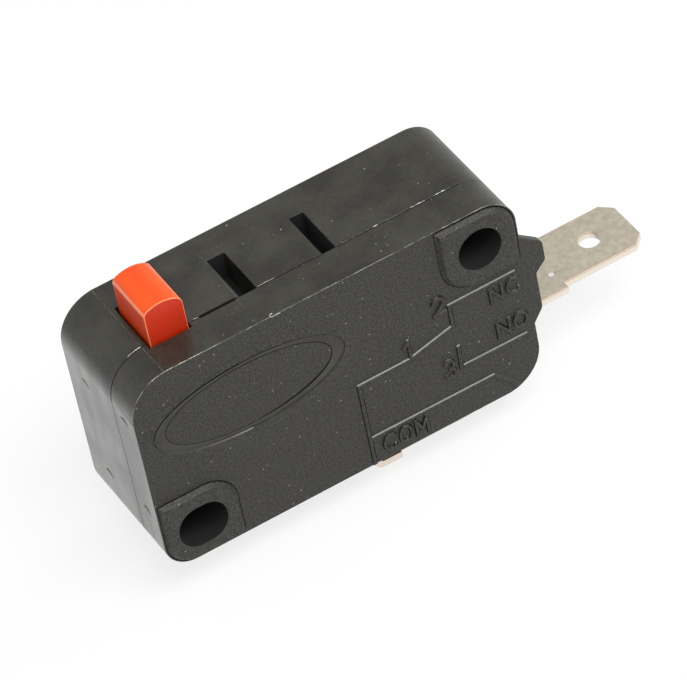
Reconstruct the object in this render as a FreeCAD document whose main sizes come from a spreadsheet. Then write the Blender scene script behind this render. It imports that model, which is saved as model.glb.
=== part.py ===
import FreeCAD, Part
import math
import os
import re
import Sketcher

# Door interlock switch: a miniature snap-action switch in a two-part moulded housing.
# Frame: X along the housing towards the terminal end, Y from the cover's face to the case's back,
# Z up through the plunger. The origin is the centre of the round mounting hole, on the mid-plane.

SIZES = {
    # Housing
    "body_depth": 9.6,
    "cover_depth": 2.9,
    "wall_thickness": 1.2,
    "corner_top_left": 3.0,
    "corner_bottom_left": 2.0,
    "corner_top_right": 2.3,
    "corner_bottom_right": 2.8,
    # Mounting holes and the raised pads round them
    "hole_inset": 2.8,
    "terminal_end_inset": 2.93,
    "hole_radius": 1.55,
    "hole_pitch_long": 22.2,
    "hole_pitch_high": 10.3,
    "slot_half_length": 1.73,
    "slot_roundness": 0.93,
    "pad_height": 0.35,
    "pad_reach": 2.75,
    "pad_corner": 2.2,
    "pad_edge": 0.2,
    "pad_heel": 0.4,
    "pad_slope": 0.2,
    # Guard wings past the terminal end
    "wing_thickness": 0.5,
    "wing_reach": 1.54,
    "wing_waist_reach": 0.75,
    "wing_top_drop": 3.85,
    "wing_lobe_drop": 5.05,
    "wing_waist_drop": 6.6,
    "wing_waist_height": 0.75,
    "wing_foot_drop": 10.3,
    "wing_foot_height": 1.0,
    "wing_lobe_corner": 0.55,
    "wing_waist_corner": 0.38,
    "wing_foot_corner": 0.6,
    # Marks of the ejector pins on the left end
    "dimple_radius": 0.3,
    "dimple_depth": 0.1,
    "cover_dimple_setback": 1.35,
    "case_dimple_setback": 3.05,
    "cover_dimple_height": 4.6,
    "case_dimple_height": 3.7,
    "dimple_spacing": 7.8,
    # Plunger and its slot
    "plunger_from_left": 4.63,
    "plunger_width": 2.74,
    "plunger_depth": 4.15,
    "plunger_front": 2.18,
    "plunger_travel": 2.2,
    "plunger_stub": 0.8,
    "plunger_crown_peak": 0.13,
    "plunger_crown_rise": 0.4,
    "plunger_crown_fall": 0.5,
    "plunger_crown_radius": 2.3,
    "plunger_left_corner": 0.5,
    "plunger_right_corner": 0.75,
    "plunger_clearance": 0.14,
    "flange_overhang": 0.8,
    "flange_thickness": 1.0,
    "nose_width": 1.6,
    "nose_corner": 0.7,
    # Slots for a clip-on lever
    "lever_slot_one": 9.8,
    "lever_slot_one_width": 1.25,
    "lever_slot_two": 15.8,
    "lever_slot_two_width": 1.0,
    "lever_slot_depth": 2.2,
    "lever_slot_wall": 0.6,
    "slot_setback": 2.33,
    # Terminals
    "terminal_thickness": 0.5,
    "terminal_side_gap": 0.7,
    "tab_width": 4.75,
    "tab_length": 6.3,
    "tab_chamfer": 0.8,
    "tab_hole_radius": 0.73,
    "tab_hole_setback": 2.95,
    "open_terminal_height": 3.7,
    "open_terminal_shoulder": 3.67,
    "index_mark_radius": 0.23,
    "index_mark_depth": 0.15,
    "common_leg_inset": 12.13,
    "common_bar_height": 4.0,
    "common_drop": 2.55,
    "common_shoulder": 1.6,
    "bend_inner_radius": 0.3,
    "terminal_clearance": 0.05,
    # Bearings on the common terminal
    "arm_bearing_from_boss": 1.8,
    "arm_bearing_height": 7.4,
    "lever_bearing_from_leg": 2.45,
    "lever_bearing_height": 10.2,
    "notch_depth": 0.4,
    "ear_margin": 0.7,
    "bearing_clearance": 0.05,
    # Contact arm
    "arm_thickness": 0.4,
    "arm_half_width": 1.85,
    "arm_window_half_width": 1.15,
    "arm_tip_margin": 1.75,
    "arm_tip_corner": 1.1,
    "arm_window_margin": 4.45,
    "hook_web": 0.4,
    "hook_hole_radius": 0.42,
    "wedge_length": 0.5,
    # Contacts
    "contact_inset": 6.6,
    "contact_radius": 1.3,
    "contact_height": 0.6,
    "contact_crown": 0.18,
    "contact_flat_radius": 0.5,
    "rivet_radius": 0.6,
    "contact_gap": 1.0,
    "stop_width": 0.6,
    "stop_clearance": 0.08,
    # Actuating lever
    "lever_thickness": 0.5,
    "lever_tip_margin": 0.85,
    "lever_rise": 0.7,
    "lever_bearing_length": 1.2,
    "tongue_setback": 0.85,
    "tongue_thickness": 0.4,
    "tongue_length": 2.3,
    "nose_clearance": 0.1,
    # Tension spring
    "wire_radius": 0.15,
    "coil_radius": 0.7,
    "coil_setback": 2.1,
    "coil_turns": 8,
    "loop_radius": 0.65,
    "loop_clearance": 0.12,
}

# Places on the housing, worked out from the two mounting holes
SLOT_HOLE_X = "(0 - hole_pitch_long)"
SLOT_HOLE_Z = "(0 - hole_pitch_high)"
LEFT = f"({SLOT_HOLE_X} - hole_inset)"
RIGHT = "terminal_end_inset"
BOTTOM = f"({SLOT_HOLE_Z} - hole_inset)"
TOP = "hole_inset"
FRONT = "(0 - body_depth / 2)"
BACK = "(body_depth / 2)"
PARTING = f"({FRONT} + cover_depth)"
INNER_LEFT = f"({LEFT} + wall_thickness)"
INNER_RIGHT = f"({RIGHT} - wall_thickness)"
INNER_BOTTOM = f"({BOTTOM} + wall_thickness)"
INNER_TOP = f"({TOP} - wall_thickness)"
INNER_FRONT = f"({FRONT} + wall_thickness)"
INNER_BACK = f"({BACK} - wall_thickness)"
FRONT_PAD = f"({FRONT} - pad_height)"
BACK_PAD = f"({BACK} + pad_height)"
PAD_TAPER = "atan(pad_slope / pad_height)"
BOSS_RIGHT = f"({SLOT_HOLE_X} + pad_reach)"
BOSS_TOP = f"({SLOT_HOLE_Z} + pad_reach)"

# Plunger, and the back edge that its slot shares with the lever slots
PLUNGER_X = f"({LEFT} + plunger_from_left)"
SLOT_BACK = "slot_setback"
PLUNGER_FRONT = "(0 - plunger_front)"
PLUNGER_TOP = f"({TOP} + plunger_travel + plunger_stub)"

# Terminals
HALF_TERMINAL = f"({INNER_BACK} - terminal_side_gap)"
HALF_TAB = "(tab_width / 2)"
OPEN_LOW = f"({BOTTOM} + open_terminal_height)"
OPEN_HIGH = f"({OPEN_LOW} + terminal_thickness)"
OPEN_SHOULDER = f"({RIGHT} + open_terminal_shoulder)"
OPEN_TIP = f"({OPEN_SHOULDER} + tab_length)"
LEG_LEFT = f"({RIGHT} - common_leg_inset)"
LEG_RIGHT = f"({LEG_LEFT} + terminal_thickness)"
BAR_LEFT = f"({BOSS_RIGHT} + arm_bearing_from_boss)"
BAR_LOW = f"({BOTTOM} + common_bar_height)"
BAR_HIGH = f"({BAR_LOW} + terminal_thickness)"
TAIL_LOW = f"({BOTTOM} - common_drop)"
TAIL_HIGH = f"({TAIL_LOW} + terminal_thickness)"
TAIL_SHOULDER = f"({LEG_RIGHT} + common_shoulder)"
TAIL_TIP = f"({TAIL_SHOULDER} + tab_length)"
OUTER_BEND = "(bend_inner_radius + terminal_thickness)"

# Knife-edge bearings: the arm's opens to the right and the lever's to the left
ARM_EDGE_X = f"({BAR_LEFT} + terminal_thickness - notch_depth + bearing_clearance)"
ARM_EDGE_Z = f"({BOTTOM} + arm_bearing_height)"
LEVER_EDGE_X = f"({LEG_LEFT} - lever_bearing_from_leg)"
LEVER_EDGE_Z = f"({BOTTOM} + lever_bearing_height)"
LEVER_NOTCH_X = f"({LEVER_EDGE_X} + bearing_clearance)"

# The arm's slope at rest leaves the contact gap
CONTACT_X = f"({RIGHT} - contact_inset)"
CONTACT_LOW = f"({OPEN_HIGH} + contact_height)"
ARM_RUN = f"({CONTACT_X} - {ARM_EDGE_X})"
ARM_FALL = f"({ARM_EDGE_Z} - {CONTACT_LOW} - arm_thickness / 2 - contact_height - contact_gap)"
ARM_SLOPE = f"atan({ARM_FALL} / {ARM_RUN})"
ARM_CONTACT = f"({ARM_RUN} / cos({ARM_SLOPE}))"
ARM_LENGTH = f"({ARM_CONTACT} + arm_tip_margin)"
ARM_WINDOW = f"({ARM_CONTACT} - arm_window_margin)"

# The lever's slope at rest meets the plunger's nose
LEVER_RUN = f"({LEVER_EDGE_X} - {PLUNGER_X})"
LEVER_SLOPE = f"atan(lever_rise / {LEVER_RUN})"
LEVER_REACH = f"({LEVER_RUN} / cos({LEVER_SLOPE}))"
LEVER_LENGTH = f"({LEVER_REACH} + lever_tip_margin)"
LEVER_HALF = f"(({HALF_TERMINAL} - terminal_thickness) * 2 / 3)"
TONGUE_HALF = f"({LEVER_HALF} / 2)"
TONGUE_REACH = f"({LEVER_REACH} - tongue_setback)"
NOSE_LOW = (
    f"({LEVER_EDGE_Z} + lever_rise + lever_thickness / 2 / cos({LEVER_SLOPE}) + nose_clearance)"
)

# Centres of the spring's end loops: one round the web of the arm, one round the tongue's foot
LOOP_INNER = "(loop_radius - wire_radius - loop_clearance)"
ARM_LOOP = f"({ARM_WINDOW} + hook_web - {LOOP_INNER})"
ARM_LOOP_X = f"({ARM_EDGE_X} + {ARM_LOOP} * cos({ARM_SLOPE}))"
ARM_LOOP_Z = f"({ARM_EDGE_Z} - {ARM_LOOP} * sin({ARM_SLOPE}))"
TONGUE_FOOT = "(lever_thickness / 2 + tongue_length - hook_web / 2)"
TONGUE_LOOP = f"({TONGUE_REACH} - {LOOP_INNER})"
TONGUE_LOOP_X = (
    f"({LEVER_EDGE_X} - {TONGUE_LOOP} * cos({LEVER_SLOPE}) - {TONGUE_FOOT} * sin({LEVER_SLOPE}))"
)
TONGUE_LOOP_Z = (
    f"({LEVER_EDGE_Z} + {TONGUE_LOOP} * sin({LEVER_SLOPE}) - {TONGUE_FOOT} * cos({LEVER_SLOPE}))"
)
SPRING_RUN = f"({ARM_LOOP_X} - {TONGUE_LOOP_X})"
SPRING_FALL = f"({TONGUE_LOOP_Z} - {ARM_LOOP_Z})"
SPRING_SPAN = f"sqrt({SPRING_RUN} * {SPRING_RUN} + {SPRING_FALL} * {SPRING_FALL})"
COIL_LENGTH = f"({SPRING_SPAN} - coil_setback * 2)"

# The wire is an octagon with a round wire's area, because a round sweep needs far more facets
WIRE_SIDES = 8
WIRE_CORNER = math.sqrt(math.tau / WIRE_SIDES / math.sin(math.tau / WIRE_SIDES))

doc = FreeCAD.newDocument("door_interlock_switch")
sheet = doc.addObject("Spreadsheet::Sheet", "Sizes")
for row, (alias, size) in enumerate(SIZES.items(), start=1):
    sheet.set(f"A{row}", alias)
    sheet.set(f"B{row}", str(size))
    sheet.setAlias(f"B{row}", alias)
doc.recompute()


def sized(text):
    """The formula with each size's name led by its sheet's name."""
    return re.sub(r"[a-z_]+", lambda word: ("Sizes." if word[0] in SIZES else "") + word[0], text)


def bind(thing, path, text):
    thing.setExpression(path, sized(text))


def value(text):
    """What a formula is worth, in millimetres or degrees."""
    result = sheet.evalExpression(sized(text))
    return float(getattr(result, "Value", result))


def body(name):
    piece = doc.addObject("PartDesign::Body", name)
    piece.Label = name
    return piece


def origin_plane(piece, plane):
    roles = {feature.Role: feature for feature in piece.Origin.OriginFeatures}
    return roles[f"{plane}_Plane"]


def hold(sketch, kind, *ends, text=None):
    """Adds a constraint, tied to its formula where it has one."""
    if text is None:
        sketch.addConstraint(Sketcher.Constraint(kind, *ends))
        return
    index = sketch.addConstraint(Sketcher.Constraint(kind, *ends, value(text)))
    bind(sketch, f"Constraints[{index}]", text)


def place_point(sketch, geometry, end, across, up):
    hold(sketch, "DistanceX", -1, 1, geometry, end, text=across)
    hold(sketch, "DistanceY", -1, 1, geometry, end, text=up)


def sketch_on(piece, name, plane, level):
    sketch = piece.newObject("Sketcher::SketchObject", name)
    sketch.AttachmentSupport = (origin_plane(piece, plane), [""])
    sketch.MapMode = "FlatFace"
    bind(sketch, "AttachmentOffset.Base.z", f"0 - ({level})" if plane == "XZ" else level)
    return sketch


def corner_cut(before, corner, after, radius):
    """Where a round corner leaves its two sides, and the middle of its arc."""
    into = (corner - before).normalize()
    out = (after - corner).normalize()
    turn = math.acos(max(-1.0, min(1.0, into.dot(out))))
    back = radius * math.tan(turn / 2)
    start = corner - into * back
    end = corner + out * back
    bisector = (out - into).normalize()
    middle = corner + bisector * (radius / math.cos(turn / 2) - radius)
    return start, middle, end


def draw_outline(sketch, corners):
    """A closed outline: each corner is (across, up) or (across, up, radius), all formulas."""
    spots = [FreeCAD.Vector(value(corner[0]), value(corner[1]), 0) for corner in corners]
    count = len(corners)
    starts = list(spots)
    ends = list(spots)
    arcs = {}
    for i, corner in enumerate(corners):
        if len(corner) == 3:
            before = spots[i - 1]
            after = spots[(i + 1) % count]
            starts[i], middle, ends[i] = corner_cut(before, spots[i], after, value(corner[2]))
            arcs[i] = sketch.addGeometry(Part.Arc(starts[i], middle, ends[i]), False)
    lines = []
    for i in range(count):
        side = Part.LineSegment(ends[i], starts[(i + 1) % count])
        lines.append(sketch.addGeometry(side, False))
    for i, corner in enumerate(corners):
        into, out = lines[i - 1], lines[i]
        if i not in arcs:
            hold(sketch, "Coincident", into, 2, out, 1)
            place_point(sketch, out, 1, corner[0], corner[1])
            continue
        arc = arcs[i]
        first = 1 if sketch.getPoint(arc, 1).distanceToPoint(starts[i]) < 1e-6 else 2
        hold(sketch, "Tangent", into, 2, arc, first)
        hold(sketch, "Tangent", arc, 3 - first, out, 1)
        hold(sketch, "Radius", arc, text=corner[2])
        point = sketch.addGeometry(Part.Point(spots[i]), True)
        hold(sketch, "PointOnObject", point, 1, into)
        hold(sketch, "PointOnObject", point, 1, out)
        place_point(sketch, point, 1, corner[0], corner[1])


def draw_circle(sketch, across, up, radius):
    centre = FreeCAD.Vector(value(across), value(up), 0)
    ring = sketch.addGeometry(Part.Circle(centre, FreeCAD.Vector(0, 0, 1), value(radius)), False)
    place_point(sketch, ring, 3, across, up)
    hold(sketch, "Radius", ring, text=radius)


def prism(piece, name, plane, span, corners=None, circles=(), cut=False, taper=None):
    """Adds, or cuts away, an outline carried from one level to a higher one along its axis."""
    low, high = span
    sketch = sketch_on(piece, f"{name}_outline", plane, low)
    if corners:
        draw_outline(sketch, corners)
    for across, up, radius in circles:
        draw_circle(sketch, across, up, radius)
    feature = piece.newObject("PartDesign::Pocket" if cut else "PartDesign::Pad", name)
    feature.Profile = sketch
    bind(feature, "Length", f"({high}) - ({low})")
    feature.Reversed = cut != (plane == "XZ")
    if taper:
        bind(feature, "TaperAngle", taper)
    sketch.Visibility = False
    return feature


def rectangle(left, right, low, high):
    return [(left, low), (right, low), (right, high), (left, high)]


def housing_outline():
    return [
        (LEFT, BOTTOM, "corner_bottom_left"),
        (RIGHT, BOTTOM, "corner_bottom_right"),
        (RIGHT, TOP, "corner_top_right"),
        (LEFT, TOP, "corner_top_left"),
    ]


def cavity_outline():
    """The hollow inside the walls, which goes round both mounting bosses."""
    return [
        (INNER_LEFT, BOSS_TOP),
        (BOSS_RIGHT, BOSS_TOP, "pad_corner"),
        (BOSS_RIGHT, INNER_BOTTOM),
        (INNER_RIGHT, INNER_BOTTOM, "corner_bottom_right - wall_thickness"),
        (INNER_RIGHT, "0 - pad_reach"),
        ("0 - pad_reach", "0 - pad_reach", "pad_corner"),
        ("0 - pad_reach", INNER_TOP),
        (INNER_LEFT, INNER_TOP, "corner_top_left - wall_thickness"),
    ]


def round_pad_outline(inset):
    """The pad round the round hole, drawn that much inside its foot."""
    inner = f"{inset} - pad_reach"
    right = f"{RIGHT} - pad_edge - {inset}"
    top = f"{TOP} - pad_edge - {inset}"
    return [
        (inner, inner, f"pad_corner - {inset}"),
        (right, inner, f"pad_heel - {inset}"),
        (right, top, f"corner_top_right - pad_edge - {inset}"),
        (inner, top),
    ]


def slotted_pad_outline(inset):
    left = f"{LEFT} + pad_edge + {inset}"
    low = f"{BOTTOM} + pad_edge + {inset}"
    right = f"{BOSS_RIGHT} - {inset}"
    top = f"{BOSS_TOP} - {inset}"
    return [
        (left, low, f"corner_bottom_left - pad_edge - {inset}"),
        (right, low, f"pad_heel - {inset}"),
        (right, top, f"pad_corner - {inset}"),
        (left, top),
    ]


def wing_outline():
    """The guard's edge: a sloping top, a deep upper lobe, a waist and a long shallow lower lobe."""
    inside = f"{RIGHT} - wall_thickness"
    upper = f"{RIGHT} + wing_reach"
    lower = f"{RIGHT} + wing_waist_reach"
    top = f"{TOP} - wing_top_drop"
    waist = f"{TOP} - wing_waist_drop"
    foot = f"{TOP} - wing_foot_drop"
    return [
        (inside, top),
        (RIGHT, top),
        (upper, f"{TOP} - wing_lobe_drop", "wing_lobe_corner"),
        (upper, waist, "wing_waist_corner"),
        (lower, f"{waist} - wing_waist_height", "wing_waist_corner"),
        (lower, foot, "wing_foot_corner"),
        (RIGHT, f"{foot} - wing_foot_height"),
        (inside, f"{foot} - wing_foot_height"),
    ]


def slotted_hole_outline():
    left = f"{SLOT_HOLE_X} - slot_half_length"
    right = f"{SLOT_HOLE_X} + slot_half_length"
    low = f"{SLOT_HOLE_Z} - hole_radius"
    high = f"{SLOT_HOLE_Z} + hole_radius"
    corner = "hole_radius * slot_roundness"
    return [(across, up, corner) for across, up in rectangle(left, right, low, high)]


LEVER_SLOTS = {
    "lever_slot_one": (f"{LEFT} + lever_slot_one", "lever_slot_one_width"),
    "lever_slot_two": (f"{LEFT} + lever_slot_two", "lever_slot_two_width"),
}
THROUGH = (f"{FRONT_PAD} - wall_thickness", f"{BACK_PAD} + wall_thickness")


def housing_half(name, block, hollow, pads, pad_inset, pad_taper, wing):
    """One moulded half with its bosses, sloping pads, wing and the boxes round the lever slots."""
    half = body(name)
    prism(half, f"{name}_block", "XZ", block, housing_outline())
    prism(half, f"{name}_wing", "XZ", wing, wing_outline())
    prism(half, f"{name}_round_pad", "XZ", pads, round_pad_outline(pad_inset), taper=pad_taper)
    prism(half, f"{name}_slotted_pad", "XZ", pads, slotted_pad_outline(pad_inset), taper=pad_taper)
    prism(half, f"{name}_cavity", "XZ", hollow, cavity_outline(), cut=True)
    for slot, (left, width) in LEVER_SLOTS.items():
        low = f"{TOP} - lever_slot_depth - lever_slot_wall"
        sides = (f"{left} - lever_slot_wall", f"{left} + {width} + lever_slot_wall")
        prism(half, f"{name}_{slot}_box", "XZ", hollow, rectangle(*sides, low, INNER_TOP))
    prism(half, f"{name}_round_hole", "XZ", THROUGH, circles=[("0", "0", "hole_radius")], cut=True)
    prism(half, f"{name}_slotted_hole", "XZ", THROUGH, slotted_hole_outline(), cut=True)
    return half


def dimples(half, name, across, lowest):
    """Two shallow pin marks, one above the other, on the left end."""
    marks = [(across, lowest, "dimple_radius"), (across, f"{lowest} + dimple_spacing", "dimple_radius")]
    prism(half, f"{name}_dimples", "YZ", (LEFT, f"{LEFT} + dimple_depth"), circles=marks, cut=True)


def terminal_slots(half, name, span):
    """Slots in the bottom and the right wall, a running clearance round each terminal."""
    leg = (f"{LEG_LEFT} - terminal_clearance", f"{LEG_RIGHT} + terminal_clearance")
    bottom = rectangle(*leg, f"{BOTTOM} - wall_thickness", INNER_BOTTOM)
    prism(half, f"{name}_common_slot", "XZ", span, bottom, cut=True)
    tab = (f"{OPEN_LOW} - terminal_clearance", f"{OPEN_HIGH} + terminal_clearance")
    side = rectangle(INNER_RIGHT, f"{RIGHT} + wall_thickness", *tab)
    prism(half, f"{name}_open_slot", "XZ", span, side, cut=True)


def make_case():
    case = housing_half(
        "case",
        block=(PARTING, BACK),
        hollow=(PARTING, INNER_BACK),
        pads=(BACK, BACK_PAD),
        pad_inset="0",
        pad_taper=f"-{PAD_TAPER}",
        wing=(f"{BACK} - wing_thickness", BACK),
    )
    ledge_right = INNER_RIGHT
    ledge_left = f"{CONTACT_X} - contact_radius"
    low = f"{OPEN_LOW} - terminal_clearance"
    deep = (PARTING, INNER_BACK)
    prism(case, "open_ledge", "XZ", deep, rectangle(ledge_left, ledge_right, INNER_BOTTOM, low))
    ledge_left = f"{BAR_LEFT} + terminal_thickness"
    ledge_right = f"{LEG_LEFT} - {OUTER_BEND}"
    low = f"{BAR_LOW} - terminal_clearance"
    prism(case, "common_ledge", "XZ", deep, rectangle(ledge_left, ledge_right, INNER_BOTTOM, low))
    stop_right = f"({ARM_EDGE_X} + {ARM_LENGTH} * cos({ARM_SLOPE}))"
    stop_left = f"({stop_right} - stop_width)"
    stop_low = (
        f"{ARM_EDGE_Z} - ({stop_left} - {ARM_EDGE_X}) * tan({ARM_SLOPE})"
        f" + arm_thickness / 2 / cos({ARM_SLOPE}) + stop_clearance"
    )
    stop = rectangle(stop_left, stop_right, stop_low, "pad_corner - pad_reach")
    prism(case, "arm_stop", "XZ", deep, stop)
    for slot, (left, width) in LEVER_SLOTS.items():
        across = (left, f"{left} + {width}")
        outline = rectangle(*across, f"{TOP} - lever_slot_depth", f"{TOP} + wall_thickness")
        prism(case, slot, "XZ", (PARTING, SLOT_BACK), outline, cut=True)
    half_slot = "(plunger_width / 2 + plunger_clearance)"
    across = (f"{PLUNGER_X} - {half_slot}", f"{PLUNGER_X} + {half_slot}")
    outline = rectangle(*across, INNER_TOP, f"{TOP} + wall_thickness")
    prism(case, "plunger_slot", "XZ", (PARTING, SLOT_BACK), outline, cut=True)
    terminal_slots(case, "case", (PARTING, f"{HALF_TERMINAL} + terminal_clearance"))
    dimples(case, "case", f"{BACK} - case_dimple_setback", f"{BOTTOM} + case_dimple_height")
    return case


def make_cover():
    cover = housing_half(
        "cover",
        block=(FRONT, PARTING),
        hollow=(INNER_FRONT, PARTING),
        pads=(FRONT_PAD, FRONT),
        pad_inset="pad_slope",
        pad_taper=PAD_TAPER,
        wing=(FRONT, f"{FRONT} + wing_thickness"),
    )
    half_slot = "(plunger_width / 2 + plunger_clearance)"
    across = (f"{PLUNGER_X} - {half_slot}", f"{PLUNGER_X} + {half_slot}")
    outline = rectangle(*across, INNER_TOP, f"{TOP} + wall_thickness")
    deep = (f"{PLUNGER_FRONT} - plunger_clearance", PARTING)
    prism(cover, "plunger_notch", "XZ", deep, outline, cut=True)
    terminal_slots(cover, "cover", (f"0 - {HALF_TERMINAL} - terminal_clearance", PARTING))
    dimples(cover, "cover", f"{FRONT} + cover_dimple_setback", f"{BOTTOM} + cover_dimple_height")
    return cover


def make_plunger():
    """A crowned stem, a flange that stops it under the top wall, and a round nose below."""
    plunger = body("plunger")
    left = f"{PLUNGER_X} - plunger_width / 2"
    right = f"{PLUNGER_X} + plunger_width / 2"
    flange_top = f"({INNER_TOP} - plunger_clearance)"
    flange_low = f"({flange_top} - flange_thickness)"
    stem = [
        (left, flange_low),
        (right, flange_low),
        (right, f"{PLUNGER_TOP} - plunger_crown_fall", "plunger_right_corner"),
        (PLUNGER_X, f"{PLUNGER_TOP} + plunger_crown_peak", "plunger_crown_radius"),
        (left, f"{PLUNGER_TOP} - plunger_crown_rise", "plunger_left_corner"),
    ]
    deep = (PLUNGER_FRONT, f"{PLUNGER_FRONT} + plunger_depth")
    prism(plunger, "stem", "XZ", deep, stem)
    sides = (f"{left} - flange_overhang", f"{right} + flange_overhang")
    flange = rectangle(*sides, flange_low, flange_top)
    flange_deep = (
        f"{PARTING} + plunger_clearance",
        f"{INNER_BACK} - plunger_clearance",
    )
    prism(plunger, "flange", "XZ", flange_deep, flange)
    nose = [
        (f"{PLUNGER_X} - nose_width / 2", NOSE_LOW, "nose_corner"),
        (f"{PLUNGER_X} + nose_width / 2", NOSE_LOW, "nose_corner"),
        (f"{PLUNGER_X} + nose_width / 2", flange_low),
        (f"{PLUNGER_X} - nose_width / 2", flange_low),
    ]
    prism(plunger, "nose", "XZ", (f"0 - {LEVER_HALF}", LEVER_HALF), nose)
    return plunger


def tab_tip(tip, shoulder):
    """The outline of a push-on tab from its shoulder to its chamfered tip, seen from above."""
    flat = f"{tip} - tab_chamfer"
    corner = f"({HALF_TAB} - tab_chamfer)"
    return [
        (shoulder, f"0 - {HALF_TAB}"),
        (flat, f"0 - {HALF_TAB}"),
        (tip, f"0 - {corner}"),
        (tip, corner),
        (flat, HALF_TAB),
        (shoulder, HALF_TAB),
    ]


def make_open_terminal():
    terminal = body("normally_open_terminal")
    inner = f"{CONTACT_X} - contact_radius - hook_web"
    thick = (OPEN_LOW, OPEN_HIGH)
    wide = rectangle(inner, OPEN_SHOULDER, f"0 - {HALF_TERMINAL}", HALF_TERMINAL)
    prism(terminal, "open_strip", "XY", thick, wide)
    prism(terminal, "open_tab", "XY", thick, tab_tip(OPEN_TIP, OPEN_SHOULDER))
    holes = [
        (f"{OPEN_TIP} - tab_hole_setback", "0", "tab_hole_radius"),
        (CONTACT_X, "0", "rivet_radius"),
    ]
    prism(terminal, "open_holes", "XY", thick, circles=holes, cut=True)
    mark = [(f"{OPEN_SHOULDER} - index_mark_radius", f"0 - {HALF_TAB} / 2", "index_mark_radius")]
    top = (f"{OPEN_HIGH} - index_mark_depth", OPEN_HIGH)
    prism(terminal, "open_index_mark", "XY", top, circles=mark, cut=True)
    return terminal


def make_common_terminal():
    """A strip bent down through the bottom wall, with two pairs of ears bent up inside."""
    terminal = body("common_terminal")
    strip = [
        (BAR_LEFT, BAR_LOW),
        (LEG_LEFT, BAR_LOW, "bend_inner_radius"),
        (LEG_LEFT, TAIL_LOW, OUTER_BEND),
        (TAIL_SHOULDER, TAIL_LOW),
        (TAIL_SHOULDER, TAIL_HIGH),
        (LEG_RIGHT, TAIL_HIGH, "bend_inner_radius"),
        (LEG_RIGHT, BAR_HIGH, OUTER_BEND),
        (BAR_LEFT, BAR_HIGH),
    ]
    wide = (f"0 - {HALF_TERMINAL}", HALF_TERMINAL)
    prism(terminal, "common_strip", "XZ", wide, strip)
    prism(terminal, "common_tab", "XY", (TAIL_LOW, TAIL_HIGH), tab_tip(TAIL_TIP, TAIL_SHOULDER))
    hole = [(f"{TAIL_TIP} - tab_hole_setback", "0", "tab_hole_radius")]
    prism(terminal, "common_hole", "XY", (TAIL_LOW, TAIL_HIGH), circles=hole, cut=True)

    root = f"{BAR_LEFT} + terminal_thickness - notch_depth"
    face = f"{BAR_LEFT} + terminal_thickness"
    arm_ear = [
        (BAR_LEFT, BAR_LOW),
        (face, BAR_LOW),
        (face, f"{ARM_EDGE_Z} - notch_depth"),
        (root, ARM_EDGE_Z),
        (face, f"{ARM_EDGE_Z} + notch_depth"),
        (face, f"{ARM_EDGE_Z} + notch_depth + ear_margin"),
        (BAR_LEFT, f"{ARM_EDGE_Z} + notch_depth + ear_margin"),
    ]
    prism(terminal, "arm_ears", "XZ", ("0 - arm_half_width", "arm_half_width"), arm_ear)
    gap = rectangle(
        f"{BAR_LEFT} - ear_margin",
        f"{face} + ear_margin",
        BAR_HIGH,
        f"{ARM_EDGE_Z} + notch_depth + ear_margin * 2",
    )
    window = ("0 - arm_window_half_width", "arm_window_half_width")
    prism(terminal, "arm_ear_gap", "XZ", window, gap, cut=True)

    lever_ear = [
        (f"{LEVER_NOTCH_X} - notch_depth", BAR_LOW),
        (f"{LEVER_NOTCH_X} + ear_margin", BAR_LOW),
        (f"{LEVER_NOTCH_X} + ear_margin", f"{LEVER_EDGE_Z} + notch_depth + ear_margin"),
        (f"{LEVER_NOTCH_X} - notch_depth", f"{LEVER_EDGE_Z} + notch_depth + ear_margin"),
        (f"{LEVER_NOTCH_X} - notch_depth", f"{LEVER_EDGE_Z} + notch_depth"),
        (LEVER_NOTCH_X, LEVER_EDGE_Z),
        (f"{LEVER_NOTCH_X} - notch_depth", f"{LEVER_EDGE_Z} - notch_depth"),
    ]
    near = f"{HALF_TERMINAL} - terminal_thickness"
    prism(terminal, "lever_ear_back", "XZ", (near, HALF_TERMINAL), lever_ear)
    prism(terminal, "lever_ear_front", "XZ", (f"0 - {HALF_TERMINAL}", f"0 - ({near})"), lever_ear)
    return terminal


def knife_edge(piece, name, half_thickness, direction, across):
    """Bevels a plate's end, above and below, to an edge at the plate's own origin."""
    beyond = f"0 - ({direction}) * wedge_length"
    inner = f"({direction}) * wedge_length"
    for side, sign in (("upper", "1"), ("lower", "-1")):
        bevel = [
            (beyond, "0"),
            ("0", "0"),
            (inner, f"({sign}) * {half_thickness}"),
            (inner, f"({sign}) * {half_thickness} * 2"),
            (beyond, f"({sign}) * {half_thickness} * 2"),
        ]
        prism(piece, f"{name}_{side}_bevel", "XZ", across, bevel, cut=True)


def set_in_place(piece, across, up, turn):
    """Puts a tilted piece at its bearing, turned about the Y axis."""
    piece.Placement = FreeCAD.Placement(
        FreeCAD.Vector(0, 0, 0), FreeCAD.Rotation(FreeCAD.Vector(0, 1, 0), value(turn))
    )
    bind(piece, "Placement.Base.x", across)
    bind(piece, "Placement.Base.z", up)
    bind(piece, "Placement.Rotation.Angle", turn)


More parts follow.
